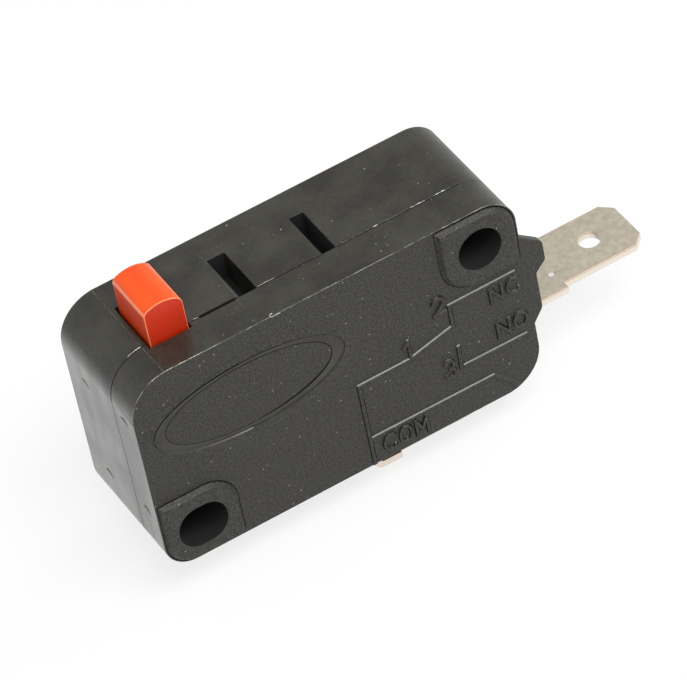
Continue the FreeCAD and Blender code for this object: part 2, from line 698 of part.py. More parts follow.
def make_contact_arm():
    """A fork whose two ends bear in the ears, a web for the spring and a rivet hole."""
    arm = body("contact_arm")
    half = "(arm_thickness / 2)"
    fork = [
        ("0", "0 - arm_half_width"),
        (ARM_LENGTH, "0 - arm_half_width", "arm_tip_corner"),
        (ARM_LENGTH, "arm_half_width", "arm_tip_corner"),
        ("0", "arm_half_width"),
        ("0", "arm_window_half_width"),
        (ARM_WINDOW, "arm_window_half_width", "hook_web"),
        (ARM_WINDOW, "0 - arm_window_half_width", "hook_web"),
        ("0", "0 - arm_window_half_width"),
    ]
    thick = (f"0 - {half}", half)
    prism(arm, "arm_fork", "XY", thick, fork)
    holes = [
        (f"{ARM_WINDOW} + hook_web + hook_hole_radius", "0", "hook_hole_radius"),
        (ARM_CONTACT, "0", "rivet_radius"),
    ]
    prism(arm, "arm_holes", "XY", thick, circles=holes, cut=True)
    wide = ("0 - arm_half_width * 2", "arm_half_width * 2")
    knife_edge(arm, "arm", half, "1", wide)
    set_in_place(arm, ARM_EDGE_X, ARM_EDGE_Z, ARM_SLOPE)
    return arm


def rivet(name, head_side, plate):
    """A contact rivet, turned about its own axis, with its head on one side of the plate."""
    contact = body(name)
    sketch = sketch_on(contact, f"{name}_profile", "XZ", "0")
    head = f"({head_side}) * contact_height"
    shank = f"0 - ({head_side}) * {plate}"
    shoulder = f"({head_side}) * (contact_height - contact_crown)"
    outline = [
        ("0", head),
        ("0", shank),
        ("rivet_radius", shank),
        ("rivet_radius", "0"),
        ("contact_radius", "0"),
        ("contact_radius", shoulder),
        ("contact_flat_radius", head),
    ]
    draw_outline(sketch, outline)
    turned = contact.newObject("PartDesign::Revolution", f"{name}_turned")
    turned.Profile = sketch
    turned.ReferenceAxis = (sketch, ["V_Axis"])
    turned.Angle = 360
    sketch.Visibility = False
    return contact


def make_fixed_contact():
    contact = rivet("fixed_contact", "1", "terminal_thickness")
    set_in_place(contact, CONTACT_X, OPEN_HIGH, "0")
    return contact


def make_moving_contact():
    """The same rivet, head down, with its shank through the arm."""
    contact = rivet("moving_contact", "-1", "arm_thickness")
    under = "(arm_thickness / 2)"
    across = f"{CONTACT_X} - {under} * sin({ARM_SLOPE})"
    up = f"{ARM_EDGE_Z} - {ARM_FALL} - {under} * cos({ARM_SLOPE})"
    set_in_place(contact, across, up, ARM_SLOPE)
    return contact


def make_lever():
    """A plate under the plunger with a wide bearing end and a tongue bent down for the spring."""
    lever = body("actuating_lever")
    half = "(lever_thickness / 2)"
    plate = [
        (f"0 - {LEVER_LENGTH}", f"0 - {LEVER_HALF}", "tongue_thickness"),
        ("0 - lever_bearing_length", f"0 - {LEVER_HALF}"),
        ("0 - lever_bearing_length", f"0 - {HALF_TERMINAL}"),
        ("0", f"0 - {HALF_TERMINAL}"),
        ("0", HALF_TERMINAL),
        ("0 - lever_bearing_length", HALF_TERMINAL),
        ("0 - lever_bearing_length", LEVER_HALF),
        (f"0 - {LEVER_LENGTH}", LEVER_HALF, "tongue_thickness"),
    ]
    prism(lever, "lever_plate", "XY", (f"0 - {half}", half), plate)
    tongue_left = f"0 - {TONGUE_REACH}"
    tongue_right = f"tongue_thickness - {TONGUE_REACH}"
    foot = f"0 - {half} - tongue_length"
    tongue = rectangle(f"0 - {TONGUE_HALF}", TONGUE_HALF, foot, "0")
    prism(lever, "tongue", "YZ", (tongue_left, tongue_right), tongue)
    hole = [("0", f"{foot} + hook_web + hook_hole_radius", "hook_hole_radius")]
    prism(lever, "tongue_hole", "YZ", (tongue_left, tongue_right), circles=hole, cut=True)
    wide = (f"0 - {HALF_TERMINAL} * 2", f"{HALF_TERMINAL} * 2")
    knife_edge(lever, "lever", half, "-1", wide)
    set_in_place(lever, LEVER_EDGE_X, LEVER_EDGE_Z, LEVER_SLOPE)
    return lever


def wire_section(name):
    """An octagon round the wire's centre line."""
    wire = doc.addObject("Part::RegularPolygon", name)
    wire.Polygon = WIRE_SIDES
    bind(wire, "Circumradius", f"wire_radius * {WIRE_CORNER}")
    return wire


def make_spring():
    """A stretched coil with a straight leg and a closed loop at each end, along its own Z axis."""
    turned = FreeCAD.Rotation(FreeCAD.Vector(1, 0, 0), 90)
    helix = doc.addObject("Part::Helix", "coil_line")
    bind(helix, "Pitch", f"{COIL_LENGTH} / coil_turns")
    bind(helix, "Height", COIL_LENGTH)
    bind(helix, "Radius", "coil_radius")
    bind(helix, "Placement.Base.z", "coil_setback")
    wire = wire_section("coil_wire")
    wire.Placement.Rotation = turned
    bind(wire, "Placement.Base.x", "coil_radius")
    bind(wire, "Placement.Base.z", "coil_setback")
    coil = doc.addObject("Part::Sweep", "coil")
    coil.Sections = [wire]
    coil.Spine = (helix, ["Edge1"])
    coil.Solid = True
    coil.Frenet = True
    pieces = [coil]
    finish = f"({SPRING_SPAN} - coil_setback)"
    ends = {
        "tongue_end": ("0", "coil_setback", "loop_radius", "coil_setback"),
        "arm_end": (SPRING_SPAN, finish, finish, f"{SPRING_SPAN} - loop_radius"),
    }
    for end, (centre, turn, low, high) in ends.items():
        wire = wire_section(f"{end}_wire")
        bind(wire, "Placement.Base.x", "loop_radius")
        bind(wire, "Placement.Base.z", centre)
        loop = doc.addObject("Part::Revolution", f"{end}_loop")
        loop.Source = wire
        loop.Axis = FreeCAD.Vector(0, 1, 0)
        loop.Solid = True
        bind(loop, "Base.z", centre)
        leg = doc.addObject("Part::Cylinder", f"{end}_leg")
        bind(leg, "Radius", "wire_radius")
        bind(leg, "Height", f"({high}) - ({low})")
        bind(leg, "Placement.Base.z", low)
        spoke = doc.addObject("Part::Cylinder", f"{end}_spoke")
        bind(spoke, "Radius", "wire_radius")
        bind(spoke, "Height", "coil_radius")
        spoke.Placement.Rotation = FreeCAD.Rotation(FreeCAD.Vector(0, 1, 0), 90)
        bind(spoke, "Placement.Base.z", turn)
        pieces += [loop, leg, spoke]
    spring = doc.addObject("Part::MultiFuse", "tension_spring")
    spring.Shapes = pieces
    spring.Label = "tension_spring"
    set_in_place(spring, TONGUE_LOOP_X, TONGUE_LOOP_Z, f"acos(0 - {SPRING_FALL} / {SPRING_SPAN})")
    return spring


pieces = [
    make_case(),
    make_cover(),
    make_plunger(),
    make_open_terminal(),
    make_common_terminal(),
    make_fixed_contact(),
    make_contact_arm(),
    make_moving_contact(),
    make_lever(),
    make_spring(),
]
doc.recompute()

for thing in doc.Objects:
    if "Invalid" in thing.State or "Error" in thing.State:
        raise RuntimeError(f"{thing.Name}: {thing.State}")
os.makedirs("parts", exist_ok=True)
for piece in pieces:
    shape = piece.Shape
    if shape.isNull() or not shape.isValid():
        raise RuntimeError(f"{piece.Label} has no valid shape")
    if len(shape.Solids) != 1:
        raise RuntimeError(f"{piece.Label} has {len(shape.Solids)} solids")
    shape.exportStep(f"parts/{piece.Label}.step")
    print(piece.Label, round(shape.Volume, 3), "mm3")
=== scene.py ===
# %% [markdown]
# A door interlock switch, dressed in Blender.
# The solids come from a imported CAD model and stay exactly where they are. This lesson gives them
# their finishes, adds the fine moulded relief and flash that a CAD model leaves out, and lights
# them as a small product on a white table.

# %% Load the fixed frame
import math
import random

import bpy
from mathutils import Matrix, Vector


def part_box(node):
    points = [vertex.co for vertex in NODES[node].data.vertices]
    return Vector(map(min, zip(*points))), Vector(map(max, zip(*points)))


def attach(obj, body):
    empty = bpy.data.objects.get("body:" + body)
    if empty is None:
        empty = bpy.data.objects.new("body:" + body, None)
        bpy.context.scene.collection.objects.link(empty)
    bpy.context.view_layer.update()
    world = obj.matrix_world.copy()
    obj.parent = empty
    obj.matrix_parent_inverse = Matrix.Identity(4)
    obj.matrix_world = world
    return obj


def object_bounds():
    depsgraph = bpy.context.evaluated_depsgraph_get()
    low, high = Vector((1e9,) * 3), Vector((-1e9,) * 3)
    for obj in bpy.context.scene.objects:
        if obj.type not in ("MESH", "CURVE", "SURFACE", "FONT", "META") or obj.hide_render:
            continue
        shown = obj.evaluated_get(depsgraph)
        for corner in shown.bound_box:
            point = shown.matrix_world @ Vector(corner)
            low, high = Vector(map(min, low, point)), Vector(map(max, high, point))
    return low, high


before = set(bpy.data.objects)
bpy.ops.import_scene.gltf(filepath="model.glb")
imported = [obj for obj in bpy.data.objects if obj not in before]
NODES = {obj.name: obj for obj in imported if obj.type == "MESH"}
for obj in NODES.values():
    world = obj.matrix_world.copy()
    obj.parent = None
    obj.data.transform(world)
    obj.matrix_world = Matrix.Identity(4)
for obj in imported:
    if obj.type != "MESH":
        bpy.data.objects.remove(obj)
CAD_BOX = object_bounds()
MM = 0.001
print("nodes:", ", ".join(sorted(NODES)))

# %% [markdown]
# Everything on the housing is placed from the housing itself. Its box gives the two ends, the top
# and the bottom, and the few values below are the ones that a box can't give, such as the depth of
# the joint between the two halves.

# %% Measure the housing
COVER_LOW, COVER_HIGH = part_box("cover")
CASE_LOW, CASE_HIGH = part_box("case")
PAD_HEIGHT = 0.35 * MM
FACE = COVER_LOW.y + PAD_HEIGHT
SEAM = CASE_LOW.y
LEFT = COVER_LOW.x
BOTTOM = COVER_LOW.z
TOP = COVER_HIGH.z
RIGHT = 2.93 * MM
BACK = CASE_HIGH.y - PAD_HEIGHT
CORNERS = {
    "bottom_left": 2.0 * MM,
    "bottom_right": 2.8 * MM,
    "top_right": 2.3 * MM,
    "top_left": 3.0 * MM,
}
STEM = (LEFT + 3.1 * MM, LEFT + 6.3 * MM)
SLOT_ONE = (LEFT + 9.8 * MM, LEFT + 11.05 * MM)
SLOT_TWO = (LEFT + 15.8 * MM, LEFT + 16.8 * MM)
OPENINGS = [STEM, SLOT_ONE, SLOT_TWO]
ROUND_HOLE = (0.0, 0.0)
SLOT_HOLE = (-22.2 * MM, -10.3 * MM)
HOLE_HALF = (1.8 * MM, 1.62 * MM)
print(f"housing {1000 * (RIGHT - LEFT):.2f} mm long and {1000 * (TOP - BOTTOM):.2f} mm high")

# %% [markdown]
# Colours are written the way a paint chip or a photograph gives them, as sRGB hex. Blender's
# shaders work in linear light, so one function turns the one into the other.

# %% A colour and a node, one small function each
def paint(hex_text):
    """The linear colour of an sRGB hex text such as #2c2c2a."""
    parts = [int(hex_text[i : i + 2], 16) / 255 for i in (1, 3, 5)]
    linear = [c / 12.92 if c <= 0.04045 else ((c + 0.055) / 1.055) ** 2.4 for c in parts]
    return (*linear, 1.0)


def add(tree, kind, inputs=None, stops=(), **settings):
    """Adds a ShaderNode of a kind. An input takes a value, a socket, or a node, for its first
    output in use."""
    made = tree.nodes.new("ShaderNode" + kind)
    for name, setting in settings.items():
        setattr(made, name, setting)
    for key, given in (inputs or {}).items():
        if isinstance(given, bpy.types.Node):
            given = next(socket for socket in given.outputs if socket.enabled)
        if isinstance(given, bpy.types.NodeSocket):
            tree.links.new(given, made.inputs[key])
        else:
            made.inputs[key].default_value = given
    for number, (place, shade) in enumerate(stops):
        made.color_ramp.elements[number].position = place
        made.color_ramp.elements[number].color = paint(shade)
    return made


print("black housing plastic in linear light:", [round(c, 4) for c in paint("#242422")[:3]])

# %% [markdown]
# Every finish starts as an empty material, ends with one surface shader, and has its patterns in
# between. Patterns are sized in millimetres. Some sockets are numbered: a Map Range reads the range
# in 1 and 2 and gives the one in 3 and 4, and a Mix has its share in 0 and its two sides in 2 and
# 3, or in 6 and 7 for colours.

# %% The start and the end of a finish
def new_finish(name):
    """An empty material and its tree of nodes."""
    material = bpy.data.materials.new(name)
    material.use_nodes = True
    material.node_tree.nodes.clear()
    return material, material.node_tree


def surface(tree, look):
    """The surface shader with its inputs, and the output."""
    shader = add(tree, "BsdfPrincipled", look)
    add(tree, "OutputMaterial", {"Surface": shader})


def per_mm(size):
    """A texture's scale for features of that many millimetres, on coordinates in metres."""
    return 1 / (size * MM)


def relief(tree, pattern, depth):
    """A bump from a pattern between 0 and 1 and its depth in metres."""
    height = add(tree, "Math", {0: pattern, 1: depth}, operation="MULTIPLY")
    return add(tree, "Bump", {"Height": height, "Distance": 1.0, "Strength": 1.0})


def two_tone(name, size_mm, dark, light, look):
    """A finish that wanders between two close shades, in patches of a given size."""
    material, tree = new_finish(name)
    where = add(tree, "TexCoord").outputs["Object"]
    patch = add(tree, "TexNoise", {"Vector": where, "Scale": per_mm(size_mm), "Detail": 2.0})
    shades = add(tree, "Mix", {0: patch, 6: paint(dark), 7: paint(light)}, data_type="RGBA")
    surface(tree, {"Base Color": shades, **look})
    return material


print("a pattern of 0.5 mm has the scale", per_mm(0.5))

# %% [markdown]
# The housing is PBT, a glass-filled polyester that most small switches are moulded in, dyed black.
# Its two big faces and the raised pads come off a spark-eroded mould: a fine grain of about a
# tenth of a millimetre, which breaks the reflection up and looks matt. The top and the ends come
# off ground steel. They are smoother, show long soft flow marks, and have a thin skin of pure
# resin, which mirrors a pale table at a low angle. One material does both: it tells the faces
# apart by which way they point, and the pads by where they are. The relief on the cover was
# milled into the mould after the grain, so its sloping sides are as smooth as the rim. The walls
# inside the slots and holes see hardly anything but each other, so their shade is painted on them,
# nearly black.

# %% Masks for specks and for boxes
SPECK_RAGGED = 0.12 * MM


def scattered(tree, where, region, spacing_mm, share, largest):
    """A mask of ragged specks in a region: the share of cells with one, and its largest radius."""
    noise = add(tree, "TexNoise", {"Vector": where, "Scale": per_mm(spacing_mm / 4), "Detail": 1.0})
    ragged = {0: noise.outputs["Color"], 1: (SPECK_RAGGED,) * 3}
    bent = add(tree, "VectorMath", ragged, operation="MULTIPLY")
    bent = add(tree, "VectorMath", {0: where, 1: bent}, operation="ADD")
    cells = add(tree, "TexVoronoi", {"Vector": bent, "Scale": per_mm(spacing_mm)})
    draw = add(tree, "SeparateColor", {0: cells.outputs["Color"]})
    reach = add(tree, "MapRange", {0: draw, 1: 1 - share, 2: 1.0, 3: 0.0, 4: largest})
    speck = add(tree, "Math", {0: cells, 1: reach}, operation="LESS_THAN")
    speck = add(tree, "Math", {0: speck, 1: draw.outputs[1]}, operation="MULTIPLY")
    return add(tree, "Math", {0: speck, 1: region}, operation="MULTIPLY")


def in_box(tree, where, low, high):
    """A mask that is 1 inside a box of the part's own space."""
    middle = [(a + b) / 2 for a, b in zip(low, high)]
    half = [(b - a) / 2 for a, b in zip(low, high)]
    away = add(tree, "VectorMath", {0: where, 1: middle}, operation="SUBTRACT")
    away = add(tree, "VectorMath", {0: away, 1: half}, operation="DIVIDE")
    away = add(tree, "VectorMath", {0: away}, operation="ABSOLUTE")
    sides = add(tree, "SeparateXYZ", {0: away}).outputs
    most = add(tree, "Math", {0: sides[0], 1: sides[1]}, operation="MAXIMUM")
    most = add(tree, "Math", {0: most, 1: sides[2]}, operation="MAXIMUM")
    return add(tree, "Math", {0: most, 1: 1.0}, operation="LESS_THAN")


def in_any(tree, where, boxes):
    """A mask that is 1 inside any of some boxes."""
    total, *others = [in_box(tree, where, low, high) for low, high in boxes]
    for mask in others:
        total = add(tree, "Math", {0: total, 1: mask}, operation="MAXIMUM")
    return total


print("specks are ragged by", SPECK_RAGGED / MM, "mm")

# %% The regions of the mould
OPENING_DEPTH = 3.0 * MM
OPENING_LIP = 0.07 * MM
FLAT_FROM = 0.9
WALL_TO = 0.5
PROUD_BY = 0.01 * MM
ROOF_DEPTH = 0.05 * MM
NEVER = 10.0


def slot_boxes():
    """The spaces inside the plunger's slot and the two lever slots."""
    near, far = SEAM - OPENING_LIP, BACK - OPENING_LIP
    low, high = TOP - OPENING_DEPTH, TOP - OPENING_LIP
    return [((left, near, low), (right, far, high)) for left, right in OPENINGS]


def hole_boxes():
    """The spaces inside the two mounting holes."""
    boxes = []
    for x, z in (ROUND_HOLE, SLOT_HOLE):
        near = (x - HOLE_HALF[0], COVER_LOW.y, z - HOLE_HALF[1])
        far = (x + HOLE_HALF[0], CASE_HIGH.y, z + HOLE_HALF[1])
        boxes.append((near, far))
    return boxes


def mould_regions(tree, where, facing, place, faces, pads):
    """Masks of the eroded plastic, of what stands proud, of the top, and of the openings' walls,
    where shade is painted.
    """
    across = add(tree, "Math", {0: facing["Y"]}, operation="ABSOLUTE")
    level = FLAT_FROM if faces else NEVER
    face = add(tree, "Math", {0: across, 1: level}, operation="GREATER_THAN")
    depth = add(tree, "Math", {0: place["Y"]}, operation="ABSOLUTE")
    level = PROUD_BY - FACE if pads else NEVER
    proud = add(tree, "Math", {0: depth, 1: level}, operation="GREATER_THAN")
    eroded = add(tree, "Math", {0: face, 1: proud}, operation="MAXIMUM")
    roof = add(tree, "Math", {0: place["Z"], 1: TOP - ROOF_DEPTH}, operation="GREATER_THAN")
    wall = add(tree, "Math", {0: across, 1: WALL_TO}, operation="LESS_THAN")
    bored = in_any(tree, where, hole_boxes())
    bored = add(tree, "Math", {0: bored, 1: wall}, operation="MULTIPLY")
    slotted = in_any(tree, where, slot_boxes())
    inside = add(tree, "Math", {0: bored, 1: slotted}, operation="MAXIMUM")
    return eroded, proud, roof, inside


print("openings:", len(slot_boxes()), "slots and", len(hole_boxes()), "holes")

# %% [markdown]
# Small pale specks tell moulded plastic from paint. Each kind below is its spacing in millimetres,
# the share of the places that hold one, and its largest radius as a share of the spacing. The
# grain's high points wear pale, the pads carry more pale specks, the top has lint, and dust lies
# over all. The resin skin on the ends is streaked, and thinner in a shallow sink beside the joint. A
# grain of a tenth of a millimetre is too fine to show in the render, so it is drawn at 0.15 mm.

# %% Black PBT, spark-eroded on the faces and smooth on the rim
GRAIN_MM = 0.15
MOTTLE_MM = 0.32
FLOW_MM = 1.3
FLOW_STRETCH = (1.0, 1.0, 0.12)
CLOUD_MM = 3.0
SPECKS = (0.36, 0.34, 0.17)
PAD_SPECKS = (0.27, 0.5, 0.2)
LINT = (0.5, 0.9, 0.12)
DUST = (1.7, 0.4, 0.05)
FACE_STOPS = [(0.36, "#0f0f0d"), (0.66, "#37362e")]
RIM_STOPS = [(0.38, "#181711"), (0.63, "#333228")]
FILM_CLOUD = 0.7
STREAK_CLOUD = 0.4
SKIN_FROM = 0.88
SKIN_MOST = 0.74
SINK_BESIDE = 0.4 * MM
SINK_HALF = 0.3 * MM
SINK_KEEPS = 0.78
FACE_ROUGH = (0.46, 0.62)
RIM_ROUGH = (0.31, 0.43)
RELIEF_ROUGH = (0.22, 0.3)
OPENING_ROUGH = 0.9
FLOW_DEPTH = 0.03 * MM
GRAIN_DEPTH = 0.06 * MM
PBT_IOR = 1.5


def resin_skin(tree, facing, place, flow, cloud):
    """How much of the resin's skin there is, on what faces left or right."""
    end = add(tree, "Math", {0: facing["X"]}, operation="ABSOLUTE")
    skin = add(tree, "MapRange", {0: end, 1: SKIN_FROM, 2: 1.0, 3: 0.0, 4: SKIN_MOST})
    streak = add(tree, "Mix", {0: STREAK_CLOUD, 2: flow, 3: cloud})
    streak = add(tree, "MapRange", {0: streak, 1: 0.4, 2: 0.58, 3: 0.7, 4: 1.15})
    beside = add(tree, "Math", {0: place["Y"], 1: SEAM - SINK_BESIDE}, operation="SUBTRACT")
    beside = add(tree, "Math", {0: beside}, operation="ABSOLUTE")
    sink = add(tree, "MapRange", {0: beside, 1: 0.0, 2: SINK_HALF, 3: SINK_KEEPS, 4: 1.0})
    skin = add(tree, "Math", {0: skin, 1: streak}, operation="MULTIPLY")
    return add(tree, "Math", {0: skin, 1: sink}, operation="MULTIPLY")


def moulded_pbt(name, faces=True, pads=True, rim_rough=RIM_ROUGH):
    """Black PBT with the mould's grain on its flat faces, on what stands proud of them, or both."""
    material, tree = new_finish(name)
    where = add(tree, "TexCoord").outputs["Object"]
    place = add(tree, "SeparateXYZ", {0: where}).outputs
    facing = add(tree, "NewGeometry").outputs["True Normal"]
    facing = add(tree, "SeparateXYZ", {0: facing}).outputs
    eroded, proud, roof, inside = mould_regions(tree, where, facing, place, faces, pads)

    grain = add(tree, "TexNoise", {"Vector": where, "Scale": per_mm(GRAIN_MM), "Detail": 3.0})
    mottle = add(tree, "TexNoise", {"Vector": where, "Scale": per_mm(MOTTLE_MM), "Detail": 4.0})
    cloud = add(tree, "TexNoise", {"Vector": where, "Scale": per_mm(CLOUD_MM), "Detail": 2.0})
    drawn = add(tree, "Mapping", {0: where, "Scale": FLOW_STRETCH})
    flow = add(tree, "TexNoise", {"Vector": drawn, "Scale": per_mm(FLOW_MM), "Detail": 2.0})

    film = add(tree, "Mix", {0: FILM_CLOUD, 2: mottle, 3: cloud})
    rim = add(tree, "ValToRGB", {0: film}, stops=RIM_STOPS)
    face = add(tree, "ValToRGB", {0: grain}, stops=FACE_STOPS)
    shade = add(tree, "Mix", {0: eroded, 6: rim, 7: face}, data_type="RGBA")
    specks = scattered(tree, where, eroded, *SPECKS)
    pad_specks = scattered(tree, where, proud, *PAD_SPECKS)
    pale_specks_and_edges = add(tree, "Math", {0: specks, 1: pad_specks}, operation="MAXIMUM")
    lint = scattered(tree, where, roof, *LINT)
    open_side = add(tree, "Math", {0: roof, 1: eroded}, operation="MAXIMUM")
    dust = scattered(tree, where, open_side, *DUST)
    # The last mix paints the shade inside the openings, nearly black.
    for mask, colour in ((pale_specks_and_edges, "#8c8a80"), (lint, "#9a978c"), (dust, "#bdbab0"), (inside, "#050505")):
        shade = add(tree, "Mix", {0: mask, 6: shade, 7: paint(colour)}, data_type="RGBA")

    rough_face = add(tree, "MapRange", {0: mottle, 3: FACE_ROUGH[0], 4: FACE_ROUGH[1]})
    rough_rim = add(tree, "MapRange", {0: flow, 3: rim_rough[0], 4: rim_rough[1]})
    rough = add(tree, "Mix", {0: eroded, 2: rough_rim, 3: rough_face})
    rough = add(tree, "Mix", {0: inside, 2: rough, 3: OPENING_ROUGH})
    height = add(tree, "Mix", {0: eroded, 2: flow, 3: grain})
    depth = add(tree, "MapRange", {0: eroded, 3: FLOW_DEPTH, 4: GRAIN_DEPTH})
    surface(tree, {
        "Base Color": shade,
        "Roughness": rough,
        "Normal": relief(tree, height, depth),
        "IOR": PBT_IOR,
        "Coat Weight": resin_skin(tree, facing, place, flow, cloud),
        "Coat Roughness": 0.2,
        "Coat IOR": PBT_IOR,
    })
    return material


PBT = moulded_pbt("pbt_black_spark_eroded")
PBT_RELIEF = moulded_pbt("pbt_black_milled_relief", pads=False, rim_rough=RELIEF_ROUGH)
PBT_POLISHED = moulded_pbt("pbt_black_polished", faces=False, pads=False)
print("grain of", GRAIN_MM, "mm on the two faces")

# %% [markdown]
# The plunger is POM, or acetal: a waxy, slightly translucent plastic that slides well, dyed a
# signal orange. Light goes a little way into it, so its edges glow, and its smooth mould gives it a
# soft satin gloss with a few fine marks from handling. The crown is painted a little paler than
# the flat sides, as lit against shaded, and its edges paler still, a painted highlight. One deeper
# line along the middle of the crown is a painted reflection. The fine marks are drawn coarser than
# real ones, so that they show.

# %% Orange POM
POM_CLOUD_MM = 1.6
POM_SCRATCH_MM = 0.12
POM_STRETCH = (1.0, 0.2, 1.0)
SCRATCH_DEPTH = 0.004 * MM
CROWN_REFLECTION_LEAN = 0.05
CROWN_REFLECTION_HALF = 0.3


def painted_edge_highlights(tree):
    """A mask of the broken edges, where a highlight is painted: they point neither straight along
    the depth nor straight aside.
    """
    facing = add(tree, "NewGeometry").outputs["True Normal"]
    facing = add(tree, "SeparateXYZ", {0: facing}).outputs
    masks = []
    for axis, least, most in (("X", 0.78, 0.985), ("Y", 0.15, 0.985)):
        tilt = add(tree, "Math", {0: facing[axis]}, operation="ABSOLUTE")
        above = add(tree, "Math", {0: tilt, 1: least}, operation="GREATER_THAN")
        below = add(tree, "Math", {0: tilt, 1: most}, operation="LESS_THAN")
        masks.append(add(tree, "Math", {0: above, 1: below}, operation="MULTIPLY"))
    return add(tree, "Math", {0: masks[0], 1: masks[1]}, operation="MAXIMUM")


def shaded_flat_sides(tree, facing):
    """A mask of the flat front and back, and less of the two sides: where shade is painted."""
    front = add(tree, "Math", {0: facing["Y"]}, operation="ABSOLUTE")
    side = add(tree, "Math", {0: facing["X"]}, operation="ABSOLUTE")
    side = add(tree, "Math", {0: side, 1: 0.9}, operation="MULTIPLY")
    flat = add(tree, "Math", {0: front, 1: side}, operation="MAXIMUM")
    return add(tree, "MapRange", {0: flat, 1: 0.75, 2: 0.98})


def painted_crown_reflection(tree, facing):
    """A mask of the painted reflection along the crown, by how far its surface leans aside."""
    away = add(tree, "Math", {0: facing["X"], 1: CROWN_REFLECTION_LEAN}, operation="SUBTRACT")
    away = add(tree, "Math", {0: away}, operation="ABSOLUTE")
    return add(tree, "MapRange", {0: away, 1: 0.0, 2: CROWN_REFLECTION_HALF, 3: 0.5, 4: 0.0})


def orange_pom():
    """Waxy orange plastic, with painted light, shade, reflection and edge highlights."""
    material, tree = new_finish("pom_orange_moulded")
    where = add(tree, "TexCoord").outputs["Object"]
    facing = add(tree, "NewGeometry").outputs["Normal"]
    facing = add(tree, "SeparateXYZ", {0: facing}).outputs
    cloud = add(tree, "TexNoise", {"Vector": where, "Scale": per_mm(POM_CLOUD_MM), "Detail": 2.0})
    # The crown's paler colours are painted light, and the sides' darker ones painted shade.
    crown = add(tree, "Mix", {0: cloud, 6: paint("#f04a04"), 7: paint("#ff5f04")}, data_type="RGBA")
    sides = add(tree, "Mix", {0: cloud, 6: paint("#c62a05"), 7: paint("#d43207")}, data_type="RGBA")
    # A deeper line along the crown is a painted reflection.
    line = painted_crown_reflection(tree, facing)
    crown = add(tree, "Mix", {0: line, 6: crown, 7: paint("#f03c00")}, data_type="RGBA")
    shades = add(tree, "Mix", {0: shaded_flat_sides(tree, facing), 6: crown, 7: sides}, data_type="RGBA")
    # The paler edges are a painted highlight.
    pale_specks_and_edges = painted_edge_highlights(tree)
    shades = add(tree, "Mix", {0: pale_specks_and_edges, 6: shades, 7: paint("#ff8f60")}, data_type="RGBA")
    drawn = add(tree, "Mapping", {0: where, "Scale": POM_STRETCH})
    marks = add(tree, "TexNoise", {"Vector": drawn, "Scale": per_mm(POM_SCRATCH_MM), "Detail": 2.0})
    surface(tree, {
        "Base Color": shades,
        "Roughness": add(tree, "MapRange", {0: marks, 3: 0.3, 4: 0.42}),
        "Normal": relief(tree, marks, SCRATCH_DEPTH),
        "IOR": 1.48,
        "Subsurface Weight": 0.12,
        "Subsurface Radius": (1.0, 0.25, 0.08),
        "Subsurface Scale": 0.4 * MM,
    })
    return material


POM = orange_pom()
print("made", POM.name)

# %% [markdown]
# The terminals are brass strip with a dull tin plate, stamped out and then barrel plated. So their
# two faces are a warm grey with the faint lines of the rolling mill and a little tarnish. Their cut
# edges are paler, partly as a painted highlight, and the smoothly sheared upper third, where the
# plate has gone, shows the pinkish brass beneath. The colour comes from the faces' direction and
# height. Real mill lines are finer than 0.16 mm and are drawn that coarse so that they show.

# %% Tinned brass, stamped
MILL_LINE_MM = 0.16
MILL_STRETCH = (0.06, 1.0, 1.0)
MILL_DEPTH = 0.004 * MM
TARNISH_MM = 0.35
TAB_TOP = -8.9 * MM
SHEARED_TO = -9.1 * MM


def cut_edges(tree, where):
    """Masks of the stamped edges, and of their part below the sheared one: a painted highlight."""
    facing = add(tree, "NewGeometry").outputs["Normal"]
    facing = add(tree, "SeparateXYZ", {0: facing}).outputs
    edge = add(tree, "Math", {0: facing["Y"]}, operation="ABSOLUTE")
    cut = add(tree, "MapRange", {0: edge, 1: 0.3, 2: 0.6})
    level = add(tree, "Math", {0: facing["Z"]}, operation="ABSOLUTE")
    highlit_flank = add(tree, "MapRange", {0: level, 1: 0.12, 2: 0.35, 3: 1.0, 4: 0.0})
    height = add(tree, "SeparateXYZ", {0: where}).outputs["Z"]
    broken = add(tree, "MapRange", {0: height, 1: SHEARED_TO, 2: TAB_TOP, 3: 1.6, 4: 0.0})
    return cut, add(tree, "Math", {0: highlit_flank, 1: broken}, operation="MULTIPLY")


def tinned_strip():
    """Dull tin on rolled strip, with tan cut edges and a painted highlight on them."""
    material, tree = new_finish("tinned_brass_stamped")
    where = add(tree, "TexCoord").outputs["Object"]
    cut, highlit_flank = cut_edges(tree, where)
    drawn = add(tree, "Mapping", {0: where, "Scale": MILL_STRETCH})
    mill = add(tree, "TexNoise", {"Vector": drawn, "Scale": per_mm(MILL_LINE_MM), "Detail": 3.0})
    stain = add(tree, "TexNoise", {"Vector": where, "Scale": per_mm(TARNISH_MM), "Detail": 6.0})
    tin = add(tree, "Mix", {0: stain, 6: paint("#b2a793"), 7: paint("#dcd5c5")}, data_type="RGBA")
    # The near white on the cut edges is a painted highlight, and the tan their sheared metal.
    bare_and_highlight = add(tree, "Mix", {0: highlit_flank, 6: paint("#cfab8c"), 7: paint("#eee5d8")}, data_type="RGBA")
    surface(tree, {
        "Base Color": add(tree, "Mix", {0: cut, 6: tin, 7: bare_and_highlight}, data_type="RGBA"),
        "Roughness": add(tree, "MapRange", {0: stain, 3: 0.36, 4: 0.52}),
        "Normal": relief(tree, mill, MILL_DEPTH),
        "Metallic": 1.0,
    })
    return material


TINNED = tinned_strip()
print("made", TINNED.name)

# %% [markdown]
# Inside are three more metals. The contact arm and the lever are phosphor bronze spring strip, the
# contact rivets are fine-grained silver alloy, and the tension spring is drawn stainless wire.
# They differ in colour, in how rough they are and in the lines that their making leaves, which
# are drawn coarser than real ones too.

# %% Bronze strip, silver rivets and drawn wire
ROUGH_BY = 0.06
LINE_DEPTH = 0.003 * MM


